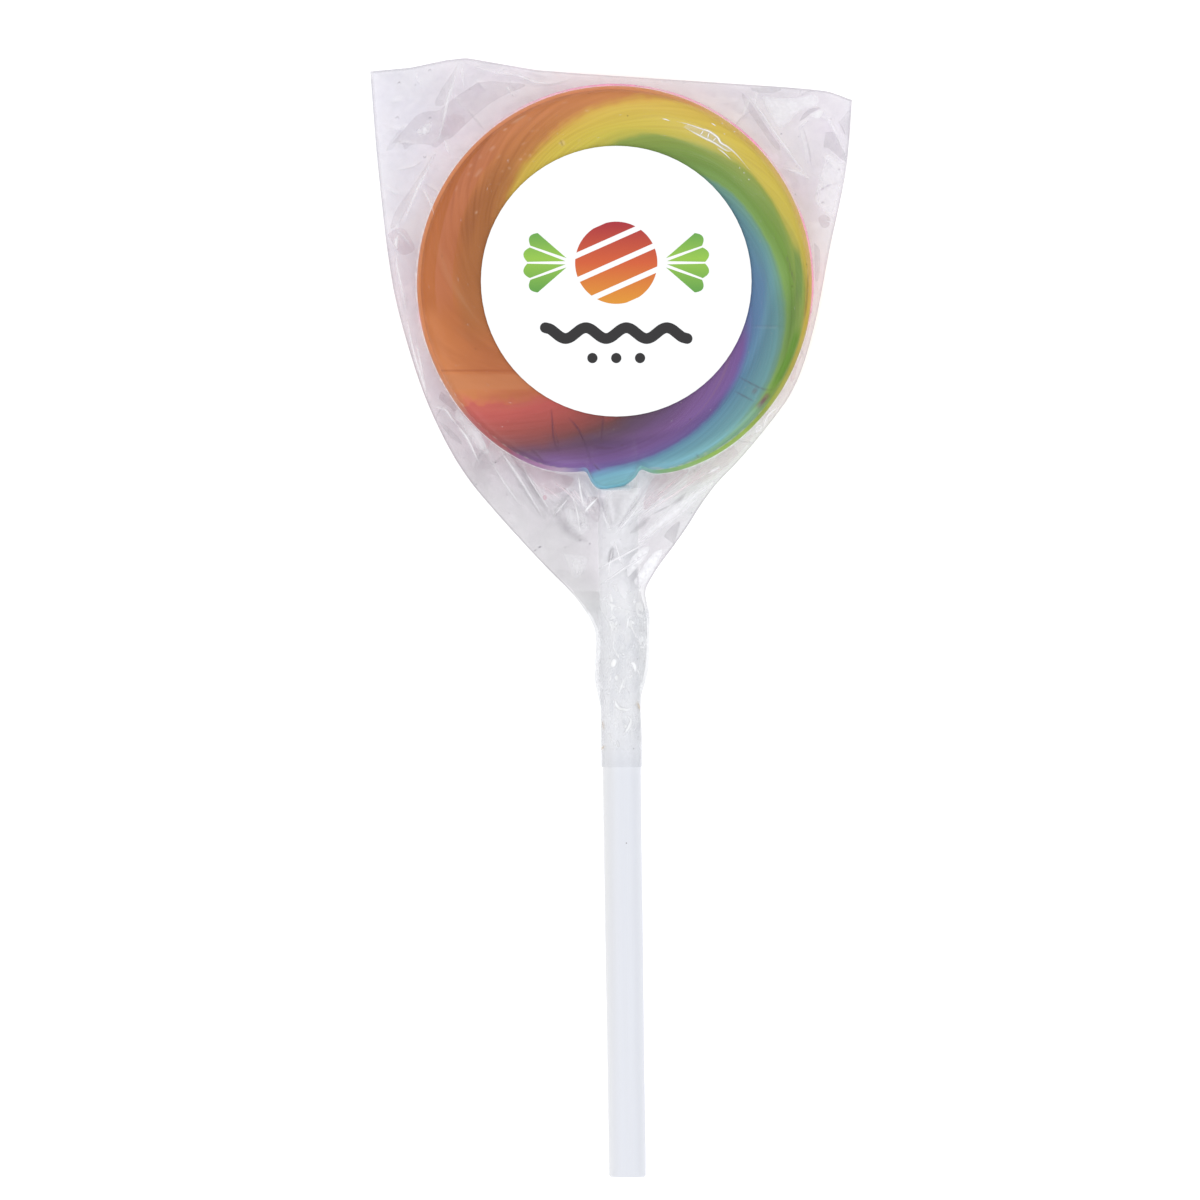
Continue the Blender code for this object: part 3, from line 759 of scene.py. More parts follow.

# Patches of film: dark ones where it clings together or lies double, with painted shade, and bright
# ones that are painted highlights where facets catch the light. The outline in millimetres, how dark
# (below 0) or bright they look, and how much of the candy's colour they pick up.
FOLDS = (
    (((-41.3, 26), (-39, 28.5), (-37, 30.8), (-35, 31.8), (-32.9, 31.9), (-31.4, 32.9),
      (-28.9, 34.9), (-26.4, 36.5), (-25.2, 37.2), (-22.6, 37.5), (-21, 37.3), (-16.4, 36.8),
      (-19, 35.4), (-21.5, 34.2), (-24, 32.5), (-26.9, 30), (-29.9, 27.1), (-31.4, 26.4),
      (-33, 25.1), (-34.6, 25.7), (-37.5, 25.7), (-38.8, 24.8), (-39.5, 26)), -0.12, 0.1),
    (((-36.7, 28.3), (-35.3, 29.2), (-33.9, 29.9), (-34.3, 28.2), (-34.8, 27.6), (-36.3, 27.6)), 0.5, 0),
    (((-32, 30.2), (-29.4, 31.4), (-27.6, 29.8), (-29.9, 27.6), (-32, 27.2)), -0.06, 0.6),
    (((-42.4, 24.6), (-41.2, 26.8), (-38.8, 29.4), (-39.9, 26.9), (-41, 25)), -0.07, 0),
    (((-29.1, 40.6), (-33.3, 33.7), (-31.4, 33.1), (-30, 36)), -0.1, 0),
    (((-33.8, 23.5), (-37, 18.5), (-40.5, 13.6), (-41.5, 10.2), (-39.8, 11.4), (-38, 14.4),
      (-35.8, 19), (-33.1, 23.7)), -0.1, 0.1),
    (((-42.1, 9.2), (-40.3, 10.2), (-39.1, 10.1), (-38.1, 9), (-37, 6.2), (-39.6, 5.4)), -0.12, 0.4),
    (((25.1, 36.4), (27.8, 36.3), (30.9, 36.2), (29.6, 35.4), (27.3, 35.4), (25.6, 35.8)), -0.12, 0),
    (((27.3, 34.9), (29.6, 34.5), (34, 34.5), (37.3, 35.1), (37.6, 33.1), (34.7, 32.2),
      (32.9, 30.6), (31.8, 29.5), (30.4, 28.9), (29.3, 30.6), (28.4, 32.2)), 0.5, 0),
    (((23.6, 35.4), (25.1, 33.6), (27.8, 29.3), (30.6, 25.2), (29.6, 25), (26.6, 29.2),
      (24, 33.2)), -0.12, 0.1),
    (((34.2, 30), (34.9, 31.3), (36.2, 32.4), (38.2, 32.6), (36.6, 31.7), (35.4, 30.7)), -0.16, 0),
    (((36, 31.2), (37.1, 31.8), (38.6, 32.2), (37.8, 30.6)), 0.9, 0),
    (((41.6, 30), (44, 32.4), (43.7, 27.1), (42.9, 27.5)), -0.08, 0),
    (((39.1, 28), (40.7, 28), (41.6, 26.6), (43.1, 23.1), (42.4, 22.9), (40.9, 24),
      (39.6, 25.1), (38.7, 25.3)), -0.14, 0),
    (((39.1, 24), (40.7, 23.9), (41.8, 22.9), (43.3, 23.1), (41.3, 14), (40, 12.6), (38, 14.2),
      (37.1, 15.3), (37.6, 18.2), (38.2, 20.6), (38.9, 22.9)), 0.32, 0),
    (((37.6, 12), (38.7, 12.8), (40, 12), (39.6, 10.6), (38.4, 10.4)), -0.14, 0.2),
    (((36.9, 7.5), (38, 6), (37.9, 1.5), (37.1, 0.5)), -0.12, 0),
    (((34.2, -13.4), (35.2, -12.2), (33.9, -15), (33.2, -17.9), (32.5, -17.7)), -0.08, 1),
    (((26.2, -27.6), (27.2, -27), (26.9, -26.2), (26.1, -26.6)), 0.8, 0),
    (((27.6, -24.8), (28.6, -23.6), (29, -24.4), (28.2, -25.2)), -0.08, 1),
    (((-32.1, -20), (-29.8, -22), (-29.2, -23.3), (-29.8, -23.7), (-30.7, -22.8),
      (-32.4, -21.4)), -0.13, 0.2),
    (((-29.1, -23.2), (-27.7, -24.9), (-25, -27.5), (-24.3, -28.8), (-23.4, -30.4), (-23, -31.6),
      (-24.5, -31.3), (-26.1, -29.6), (-28, -26.8), (-29.5, -24.7)), 0.35, 0),
    (((-24.6, -27.9), (-23.4, -28.8), (-22.9, -29.6), (-23.4, -30.8), (-23.9, -29.8)), -0.14, 0.8),
    (((-32.6, -25.5), (-30.7, -28.2), (-28.3, -29.8), (-29, -28.4), (-31, -26.4)), -0.1, 0),
    (((-9.8, -35.5), (-7.4, -36), (-7.5, -37.6), (-9.6, -37.2)), -0.05, 0.3),
    (((-9.5, -49.9), (-4.9, -50.9), (-7.3, -54.8)), 0.3, 0),
    (((-13.3, -39.5), (-12.8, -39.2), (-12.5, -39.8), (-13, -40.1)), 0.6, 0.7),
    (((-1.2, -45.6), (-1.9, -42.5), (-1.8, -40), (-0.6, -38.5), (3.4, -37.9), (4.8, -38.5), (3.4, -41.2),
      (1.4, -44.2)), 0.38, 0),
    (((-4.9, -39.6), (-3.2, -39.6), (-2.6, -42), (-3.1, -44.2), (-4.4, -43.2), (-5.2, -41.2)), -0.1, 0.2),
    (((-9.3, -41.5), (-7.4, -40.3), (-5.5, -42.5), (-4.6, -45.2), (-6.4, -46.8), (-8.4, -45.2)), 0.28, 0),
    (((-20, -30.5), (-17, -32.8), (-13.5, -34.5), (-9, -35.6), (-7.6, -36.5), (-9.5, -38.5),
      (-12.5, -39), (-15, -36.5), (-18, -33.8)), -0.11, 0.6),
    (((7.5, -35.6), (13.5, -34.4), (12.2, -36.4), (8.5, -39.6), (5.5, -42), (5.8, -38.6)), -0.1, 0.5),
    (((14, -34.6), (19, -32.2), (24, -28.6), (25.6, -28.4), (22, -32.5), (18, -36),
      (13.5, -37.5)), -0.05, 0.8),
    (((11, -48.3), (9.9, -47.4), (9.2, -46.6), (11, -44.6), (12.1, -44.1), (11.9, -45.4)), -0.16, 0),
    (((2.3, -52.8), (3, -51), (4.4, -49.6), (6.4, -48.7), (6, -50.2), (4.9, -51.8), (3.4, -53.4),
      (2.4, -54.3)), 0.85, 0),
    (((3.6, -55), (4.8, -53.2), (6.4, -50.8), (8.2, -49.3), (8.8, -49.8), (7.6, -52.4), (6.2, -54.8),
      (5, -56), (3.9, -55.8)), 1, 0),
)

# Painted highlights: fine bright lines where the film is drawn over the candy's shoulder, upper right,
# in clockwise degrees from +Y and mm of radius.
SHOULDER_LINES = (
    ((21.2, 31.97), (24.8, 32.3), (29.6, 32.7), (32, 33), (35.2, 32.94), (37.2, 32.5), (40, 32.7),
     (44, 32.7), (50, 32.5)),
    ((24, 31.5), (28, 31.4), (32, 31.5), (35.2, 31.75), (40, 31.97), (41.6, 32.5)),
    ((30.2, 32.8), (30.2, 32.1), (30, 31.45)),
    ((32.2, 33), (32.4, 32.3), (33, 31.55)),
    ((35.2, 32.9), (34.8, 32.3), (35, 31.75)),
    ((37, 31.3), (40, 31.4), (43.6, 31.3)),
    ((16, 31.6), (17.5, 31.65), (19, 31.6)),
    ((31, 34.5), (32, 34.55), (33, 34.5)),
)
SHOULDER_DOTS = ((47.4, 31.4), (49.6, 31.4), (52.4, 31.3), (36.4, 34.2), (34.0, 35.6), (38.4, 35.7))

# How strongly the film glows pink along the candy's outline, by clockwise degrees from +Y.
BLUSH = ((0, 1.0), (5, 1.0), (12, 0.5), (20, 0.8), (32, 0.6), (41, 1.0), (45, 1.0), (52, 0.4), (66, 0.2),
         (72, 0.8), (98, 0.8), (104, 0.1), (140, 0.0), (255, 0.0), (260, 0.3), (265, 0.0), (312, 0.0),
         (335, 0.5), (360, 1.0))
BLUSH_WIDTH = 0.38 * MM
# Places across that line, as shares of its width, and how much each shows.
BLUSH_ACROSS = ((-0.5, 0.0), (-0.1, 1.0), (0.35, 0.8), (0.9, 0.0))


def from_gather(turn, reach):
    """The place this far from the gathered place, at this clockwise angle from +Y."""
    return GATHER[0] * MM + reach * np.sin(turn), GATHER[1] * MM + reach * np.cos(turn)


def funnel_reach(turn):
    """How far the film runs from the gathered place, in each direction, to the candy or its own edge."""
    steps = np.arange(0.0, FUNNEL_REACH, FUNNEL_STEP)
    x, y = from_gather(turn[:, None], steps)
    blocked = (candy_cover(x, y)[1] > -0.2 * MM) | (seam_distance(x, y) < 0.4 * MM)
    blocked[:, -1] = True
    return steps[np.argmax(blocked, axis=1)]


def gathered_creases():
    """Pleats that run from the gathered place up the funnel, at even odds and uneven lengths."""
    creases = []
    for count, first, last, longest in PLEATS:
        for i in range(count):
            turn = math.radians(mixed(first, last, (i + RNG.uniform(0.1, 0.9)) / count))
            free = funnel_reach(np.array([turn]))[0] / MM
            start = RNG.uniform(0.05, 0.45) * free
            length = min(longest, free - start) * RNG.uniform(0.4, 1.0)
            bends = (0.0, RNG.normal(0.0, 0.02), RNG.normal(0.0, 0.02))
            line = []
            for share, bend in zip((0.0, 0.5, 1.0), bends):
                reach = start + share * length
                aim = turn + bend
                line.append((GATHER[0] + reach * math.sin(aim), GATHER[1] + reach * math.cos(aim)))
            gleam, width = PLEAT_LOOKS[RNG.integers(len(PLEAT_LOOKS))]
            creases.append((tuple(line), width * RNG.uniform(0.8, 1.3), RNG.uniform(0.10, 0.40), gleam))
    return creases


def loose_creases(count):
    """Short creases strewn over the two upper corners and down beside the candy."""
    creases = []
    while len(creases) < count:
        x, y = RNG.uniform(-43.0, 42.0), RNG.uniform(-34.0, 40.0)
        radius = math.hypot(x, y)
        if radius < 38.0:
            continue
        turn = math.atan2(y, x) + RNG.normal(0.0, 0.7)
        length = RNG.uniform(2.0, 7.0)
        half = (math.cos(turn) * length / 2, math.sin(turn) * length / 2)
        sag = RNG.uniform(-0.6, 0.6)
        line = ((x - half[0], y - half[1]), (x + sag, y - sag), (x + half[0], y + half[1]))
        gleam = RNG.choice([-0.12, 0.15, 0.35], p=[0.35, 0.4, 0.25])
        creases.append((line, RNG.uniform(0.3, 0.6), RNG.uniform(0.15, 0.45), float(gleam)))
    return creases


def shoulder_glints():
    """The painted highlights: bright lines and dots on the film over the candy."""
    glints = [(polar(points), 0.42 if len(points) > 4 else 0.24, 0.0, 0.95) for points in SHOULDER_LINES]
    for turn, radius in SHOULDER_DOTS:
        glints.append((polar(((turn - 0.35, radius), (turn + 0.35, radius))), 0.32, 0.0, 0.5))
    for _ in range(30):
        turn, radius = RNG.uniform(-150.0, 160.0), RNG.uniform(27.0, 34.5)
        end = (turn + RNG.uniform(0.5, 1.6), radius + RNG.uniform(-0.3, 0.3))
        glints.append((polar(((turn, radius), end)), 0.22, 0.0, RNG.uniform(0.10, 0.28)))
    return glints


def facet_noise(x, y, size, seed):
    """Flat three-sided facets that meet at crisp, slightly bent ridges, from -0.5 to 0.5."""
    tiles = 64
    heights = np.random.default_rng(seed).uniform(-0.5, 0.5, (tiles, tiles))
    bend = 0.35 * np.sin(x / (1.9 * size) + 2.0 * y / (2.3 * size))
    u = (0.86 * x - 0.50 * y) / size + bend + 30.0
    v = (0.50 * x + 0.62 * y) / size - bend + 30.0
    i, j = np.floor(u).astype(int), np.floor(v).astype(int)
    du, dv = u - i, v - j
    i, j, next_i, next_j = i % tiles, j % tiles, (i + 1) % tiles, (j + 1) % tiles
    near, far = heights[i, j], heights[next_i, next_j]
    along_u, along_v = heights[next_i, j], heights[i, next_j]
    first = near + (along_u - near) * du + (far - along_u) * dv
    second = near + (along_v - near) * dv + (far - along_v) * du
    return np.where(du > dv, first, second)


def glow(x, y, inset):
    """Where light that has been through the candy tints the film beyond its rim."""
    angle = np.degrees(np.arctan2(x, y))
    reach = np.exp(-(((-inset - 0.5 * MM) / (2.5 * MM)) ** 2))
    return reach * ease(angle, -30.0, 0.0) * ease(-angle, -150.0, -110.0)


def bag_sides(y):
    """How far the bag reaches to the left and the right at each y below its closed end."""
    return bag.reach(0, 1, np.minimum(y, TOP_END), blur=3 * MM)


def bag_top(x):
    """How far up the bag's closed end reaches at each x."""
    return bag.reach(1, 0, x, blur=2 * MM)[1]


def sheet_grid(rows, columns):
    """Points (x, y) over the bag from its closed end to its neck, evenly from side to side."""
    down = np.linspace(bag_high.y, FILM_END, rows)[:, None]
    across = np.linspace(0.0, 1.0, columns)[None, :]
    left, right = bag_sides(down)
    above = np.clip((down - TOP_END) / (bag_high.y - TOP_END), 0.0, 1.0)
    left = mixed(left, bag_low.x, above)
    right = mixed(right, bag_high.x, above)
    x = mixed(left, right, across)
    top = bag_top(x[0])
    y = np.where(down > TOP_END, mixed(TOP_END, top[None, :], above), down + 0 * across)
    return x, y


def seam_distance(x, y):
    """How far in from the bag's outline a point lies."""
    left, right = bag_sides(y)
    to_side = np.minimum(x - left, right - x)
    return np.maximum(np.minimum(to_side, np.where(y > 0, bag_top(x) - y, to_side)), 0.0)


def within_bag(x, y):
    """Points moved back to the bag's outline where they would lie beyond it."""
    left, right = bag_sides(y)
    x = np.clip(x, left + 0.1 * MM, right - 0.1 * MM)
    return x, np.minimum(y, bag_top(x) - 0.1 * MM)


def candy_cover(x, y):
    """The height of film drawn tight over the candy: its front, then its shoulder."""
    inset = candy_outline(np.degrees(np.arctan2(x, -y))) - np.hypot(x, y)
    cut = smooth_line(CANDY_CUT[:CANDY_CUT_TO_RIM], steps=3) * MM
    return CANDY_BACK + np.interp(-inset, -cut[:, 0], cut[:, 1]), inset


def seam_height(y):
    """The height of the seams, which rise to the stick's line towards the neck."""
    return mixed(SEAM_HEIGHT, AXIS_HEIGHT, ease(-y, 20 * MM, 57 * MM))


def smooth_front(x, y):
    """The front sheet without creases: drawn over the candy, down to the seams, and into the neck."""
    to_seam = seam_distance(x, y)
    cover, inset = candy_cover(x, y)
    to_candy = np.maximum(-inset, 0.0)
    stick_x = -y * math.tan(STICK_TILT)
    to_stick = np.where(y < 0, np.maximum(abs(x - stick_x) - BESIDE_STICK, 0.0), to_candy)
    to_core = np.minimum(to_candy, to_stick)
    slope = to_core / (to_core + to_seam + 1e-9)
    tent = mixed(RIDGE_HEIGHT, seam_height(y), slope**1.3)
    over = np.where(inset > 0, cover + FILM_CLEARANCE, tent)
    height = np.where(inset > 1.5 * MM, over, np.maximum(over, np.minimum(tent, RIDGE_HEIGHT)))
    return height, inset, to_seam


def film_front(x, y, creases):
    """The front sheet's height with its creases and facets, and the part of it that is creases."""
    height, inset, to_seam = smooth_front(x, y)
    lift = add_creases(x, y, creases)[0]
    over_candy = ease(inset, -0.5 * MM, 0.1 * MM)
    free = ease(to_seam, 0.0, 3.0 * MM)
    lift = lift * free * (1 - over_candy) + np.clip(lift, 0.0, 0.12 * MM) * over_candy
    facets = 1.5 * MM * facet_noise(x, y, 9 * MM, seed=21) + 0.7 * MM * facet_noise(y, x, 4.3 * MM, seed=22)
    relief = lift + facets * free * ease(-inset, 0.0, 2.5 * MM)
    under = np.hypot(x, y) < LABEL_REACH
    highest = np.where(under, UNDER_LABEL, UNDER_LABEL + 0.3 * MM)
    return np.minimum(height + relief, highest), relief


def on_film(x, y, creases, lift):
    """Points that lie this far above the creased front sheet."""
    return np.stack([x, y, film_front(x, y, creases)[0] + lift], axis=-1)


def film_back(x, y):
    """The back sheet: flat under the candy, up to the seams, and into the neck."""
    to_seam = seam_distance(x, y)
    to_candy = np.maximum(np.hypot(x, y) - CANDY_RADIUS + 2 * MM, 0.0)
    slope = to_candy / (to_candy + to_seam + 1e-9)
    return mixed(FILM_BACK_HEIGHT, seam_height(y), slope**1.5)


def film_numbers(x, y, relief, inset):
    """What the film's material reads from the sheet's points."""
    to_edge = np.minimum(np.minimum(x - x[:, :1], x[:, -1:] - x), y[:1] - y)
    slope = np.gradient(relief, axis=0) / np.gradient(y, axis=0)
    return {
        # Painted light and shade: where the sheet slopes towards +Y it is painted lighter, where it slopes
        # away darker.
        "slope_shading": np.clip(-2.5 * slope, -1.0, 1.0),
        "cling": ease(inset, -0.18 * MM, 0.02 * MM),
        "gather": ease(-y, 4 * MM, 46 * MM),
        "edge": 1 - ease(to_edge, 0.1 * MM, 0.5 * MM),
        "glow": glow(x, y, inset),
    }


def make_film_front(material, creases):
    x, y = sheet_grid(FILM_ROWS, FILM_COLUMNS)
    height, relief = film_front(x, y, creases)
    inset = candy_cover(x, y)[1]
    points = np.stack([x, y, height], axis=-1)
    faces = grid_faces(FILM_ROWS, FILM_COLUMNS)[:, ::-1]
    stored = film_numbers(x, y, relief, inset)
    new_piece("film_front", points, faces, material, replaces="bag", stored=stored)


def make_film_back(material):
    rows, columns = 170, 150
    x, y = sheet_grid(rows, columns)
    inset, to_seam = candy_cover(x, y)[1], seam_distance(x, y)
    free = ease(to_seam, 0.0, 3.0 * MM) * ease(-inset, 0.0, 4 * MM)
    relief = 0.6 * free * add_creases(x, y, loose_creases(20))[0]
    points = np.stack([x, y, film_back(x, y) + relief], axis=-1)
    stored = film_numbers(x, y, relief, inset)
    new_piece("film_back", points, grid_faces(rows, columns), material, stored=stored)


def from_stick(x, y):
    """How far to the side of the stick's line a shaded point lies."""
    return (x + y * math.tan(STICK_TILT)).math("ABSOLUTE")


def film_material():
    s = Surface("creased_film")
    x, y, _ = s.xyz()
    slope_shading, cling, gather, edge, glow = (s.stored(n) for n in ("slope_shading", "cling", "gather", "edge", "glow"))
    mottle = s.noise(9 * MM, detail=4.0, distortion=1.2).between(0.30, 0.70)
    fine = s.noise(1.8 * MM, detail=3.0).between(0.35, 0.75)
    specks = s.cells(3.9 * MM).between(0.05, 0.03)
    loose = 1.0 - cling
    # The film over the stick is painted lighter, against the shade on the stick beneath.
    over_stick = from_stick(x, y).between(4.6 * MM, 2.9 * MM) * y.between(-38 * MM, -46 * MM)
    # The sheet's slope paints light and shade into the cover and the tint below.
    cover = mottle * 0.03 + fine * 0.03 + gather * 0.10 + 0.160 - slope_shading * 0.055
    cover = cover + x.between(-35 * MM, -37 * MM) * window(y, -14 * MM, 9 * MM, 3 * MM) * 0.06
    cover = cover + x.between(-20 * MM, -26 * MM) * window(y, -38 * MM, -12 * MM, 4 * MM) * 0.09
    cover = cover * loose * y.between(FILM_END, FILM_END + 7 * MM)
    cover = cover + 0.012 + edge * 0.13 + specks * 0.18 * loose + glow * loose * 0.02
    left = x.between(-30 * MM, -38 * MM) * y.between(-2 * MM, 12 * MM)
    pink = x.between(20 * MM, 27 * MM) * window(y, -26 * MM, 4 * MM, 4 * MM)
    tint = s.layers(
        linear(160, 132, 172),
        (mottle, 150, 136, 166),
        (left * 0.8, 150, 146, 176),
        ((slope_shading * 0.5 + 0.1).clamped(), 220, 214, 226),
        (pink * 0.38, 240, 70, 150),
        (gather * 0.85, 170, 165, 169),
        (gather * x.between(-9 * MM, 1 * MM) * 0.9, 208, 200, 210),
        (over_stick, 221, 219, 225),
        ((edge * 0.5 + specks).clamped(), 120, 114, 124),
        ((glow * loose * 0.13).clamped(), 240, 130, 180),
    )
    shader = s.principled(
        Base_Color=tint,
        Metallic=0.30,
        Roughness=0.20 + fine * 0.08,
        Normal=s.relief(s.noise(2.2 * MM, detail=3.0, distortion=0.6), 0.10 * MM),
    )
    return s.finish_clear(shader, cover.clamped())


# ---------------------------------------------------------------------------------------------
# Folds: the crisp lines and patches of the creased film
# ---------------------------------------------------------------------------------------------

FAN_COLUMNS = 600
FAN_ROWS = 90
BLUSH_SPOKES = 720
# How far the pleats, the patches, the pink line and the crease lines stand off the film.
FAN_LIFT = 0.05 * MM
PATCH_LIFT = 0.09 * MM
BLUSH_LIFT = 0.10 * MM
STRIP_LIFT = 0.12 * MM
# A strip's width: places across it, as shares of the crease's width, and how much each shows.
STRIP_ACROSS = ((-0.7, 0.0), (-0.3, 0.6), (0.0, 1.0), (0.3, 0.6), (0.7, 0.0))
# In mm: the size of a patch's triangles, and how far in its edge is soft if it is a bright one.
FOLD_GRAIN = 0.7
SOFT_EDGE = 0.9
BRIGHT_FOLD = 0.2
# The colour of the painted highlights on the film, and of its painted shade and doubled layers.
BRIGHT_FILM = linear(252, 251, 254)
DARK_FILM = linear(84, 66, 88)
CANDY_GLOW = linear(205, 60, 110)


def line_strips(lines, creases):
    """Narrow tapered strips on the film along lines: points, faces, and how much each point shows."""
    places, shows, faces, count = [], [], [], 0
    for points, width, _, gleam in lines:
        line = smooth_line(points, steps=4) if len(points) > 2 else even_steps(np.array(points), 0.4)
        across = directions(line)[1]
        way = np.linspace(0.0, 1.0, len(line))
        taper = np.sin(math.pi * np.clip(way, 0.03, 0.97))[:, None] ** 0.6
        for share, show in STRIP_ACROSS:
            places.append(line + across * share * width * taper)
            shows.append(show * gleam * taper[:, 0])
        rows, columns = len(STRIP_ACROSS), len(line)
        faces.append(grid_faces(rows, columns)[:, ::-1] + count)
        count += rows * columns
    x, y = within_bag(*np.concatenate(places).T * MM)
    show = np.concatenate(shows) * ease(seam_distance(x, y), 0.1 * MM, 0.5 * MM)
    return on_film(x, y, creases, STRIP_LIFT), np.concatenate(faces), show


def fold_mesh(outline):
    """An outline filled with small triangles, so that it can follow the film."""
    edge = smooth_line([*outline, outline[0]], steps=3)[:-1]
    low, high = edge.min(axis=0), edge.max(axis=0)
    across, up = (np.arange(a + FOLD_GRAIN / 2, b, FOLD_GRAIN) for a, b in zip(low, high))
    inside = [(x, y) for x in across for y in up if inside_outline(x, y, edge)]
    corners = [Vector(p) for p in [*edge, *inside]]
    filled = delaunay_2d_cdt(corners, [], [list(range(len(edge)))], 1, 1e-4)
    return np.array([tuple(p) for p in filled[0]]), filled[2]


def inside_outline(x, y, edge):
    """Whether a point lies well inside a closed outline."""
    ahead = np.roll(edge, -1, axis=0)
    beyond = (ahead[:, 1] > y) != (edge[:, 1] > y)
    step = ahead[beyond] - edge[beyond]
    crossed = x < step[:, 0] * (y - edge[beyond][:, 1]) / step[:, 1] + edge[beyond][:, 0]
    return crossed.sum() % 2 == 1 and np.hypot(*(edge - (x, y)).T).min() > FOLD_GRAIN / 2


def make_strips(name, lines, material, creases):
    points, faces, shows = line_strips(lines, creases)
    stored = {"show": shows, "warmth": np.zeros(len(shows))}
    new_piece(name, points, faces, material, stored=stored)


def make_folds(material, creases):
    """The patches, with a painted highlight as the bright one between the lines on the candy's shoulder."""
    upper, lower = polar(SHOULDER_LINES[0][1:7]), polar(SHOULDER_LINES[1])
    places, faces, shows, warmths, count = [], [], [], [], 0
    for outline, gleam, warmth in [*FOLDS, ([*upper, *lower[::-1]], 0.16, 0.0)]:
        points, triangles = fold_mesh(outline)
        inward = along_line(*points.T, np.array([*outline, outline[0]]))[0]
        places.append(points * MM)
        faces += [[count + corner for corner in triangle] for triangle in triangles]
        edge = 0.6 if gleam > BRIGHT_FOLD else 1.0
        shows.append(gleam * mixed(edge, 1.0, ease(inward, 0.0, SOFT_EDGE)))
        warmths.append(np.full(len(points), warmth))
        count += len(points)
    points = on_film(*np.concatenate(places).T, creases, PATCH_LIFT)
    stored = {"show": np.concatenate(shows), "warmth": np.concatenate(warmths)}
    new_piece("film_folds", points, faces, material, stored=stored)


def make_fan(material, pleats, creases):
    """One thin layer for all the pleats, because many see-through layers would turn black."""
    turn = np.radians(np.linspace(PLEATS[0][1] - 3.0, PLEATS[-1][2] + 2.0, FAN_COLUMNS))
    reach = np.linspace(0.02, 1.0, FAN_ROWS)[:, None] * funnel_reach(turn)
    x, y = from_gather(turn, reach)
    _, bright, dark = add_creases(x, y, pleats)
    # Painted shade, tinted with the candy's colour, on the film within a few mm of the candy's rim and away
    # from the stick.
    near_candy = np.exp(candy_cover(x, y)[1] / (4.0 * MM)) * ease(abs(x), 4 * MM, 8 * MM)
    show = bright - dark - 0.09 * near_candy
    show *= ease(reach, 0.3 * MM, 3.0 * MM) * ease(seam_distance(x, y), 0.3 * MM, 1.5 * MM)
    points = on_film(x, y, creases, FAN_LIFT)
    faces = grid_faces(FAN_ROWS, FAN_COLUMNS)
    stored = {"show": show, "warmth": 0.6 * near_candy}
    new_piece("film_fan", points, faces, material, stored=stored)


def make_blush(material, creases):
    """A thin pink line where the film leaves the candy's rim."""
    turn = np.linspace(-180.0, 180.0, BLUSH_SPOKES, endpoint=False)
    outline = candy_outline(turn)
    reach = np.stack([outline + step * BLUSH_WIDTH for step, _ in BLUSH_ACROSS])
    x, y = reach * np.sin(np.radians(turn)), -reach * np.cos(np.radians(turn))
    points = on_film(x, y, creases, BLUSH_LIFT)
    amount = np.interp((180.0 - turn) % 360.0, *np.array(BLUSH).T)
    stored = {"show": np.stack([amount * show for _, show in BLUSH_ACROSS])}
    faces = grid_faces(len(reach), BLUSH_SPOKES, closed=True)[:, ::-1]
    new_piece("film_blush", points, faces, material, stored=stored)


def fold_material():
    s = Surface("folded_film")
    show, warmth = s.stored("show"), s.stored("warmth")
    grain = s.noise(1.5 * MM, detail=3.0).between(0.3, 0.7)
    # Bright marks are painted highlights; dark ones are painted shade, in the folds also film that lies
    # double.
    tint = s.mix(show.between(-0.01, 0.01), DARK_FILM, BRIGHT_FILM)
    tint = s.mix(warmth.clamped(), tint, CANDY_GLOW)
    cover = show.math("ABSOLUTE") * (grain * 0.30 + 0.85)
    shader = s.principled(Base_Color=tint, Roughness=0.30 + grain * 0.1, Specular_IOR_Level=0.3)
    return s.finish_clear(shader, cover.clamped())


def blush_material():
    s = Surface("pink_glow_in_film")
    grain = s.noise(2.5 * MM, detail=3.0).between(0.25, 0.65)
    tint = s.mix(grain, linear(236, 110, 168), linear(250, 150, 190))
    shader = s.principled(Base_Color=tint, Roughness=0.40, Specular_IOR_Level=0.2)
    return s.finish_clear(shader, (s.stored("show") * (grain * 0.4 + 0.6)).clamped())


# ---------------------------------------------------------------------------------------------
# Neck, tape, stick and label
# ---------------------------------------------------------------------------------------------

tape = Outline("tape")
tape_low, tape_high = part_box("tape")
stick_low, stick_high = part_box("stick")
NECK_SPOKES = 180
NECK_ROWS = 300
NECK_START = -53.0 * MM
TAPE_SPOKES = 180
TAPE_ROWS = 240
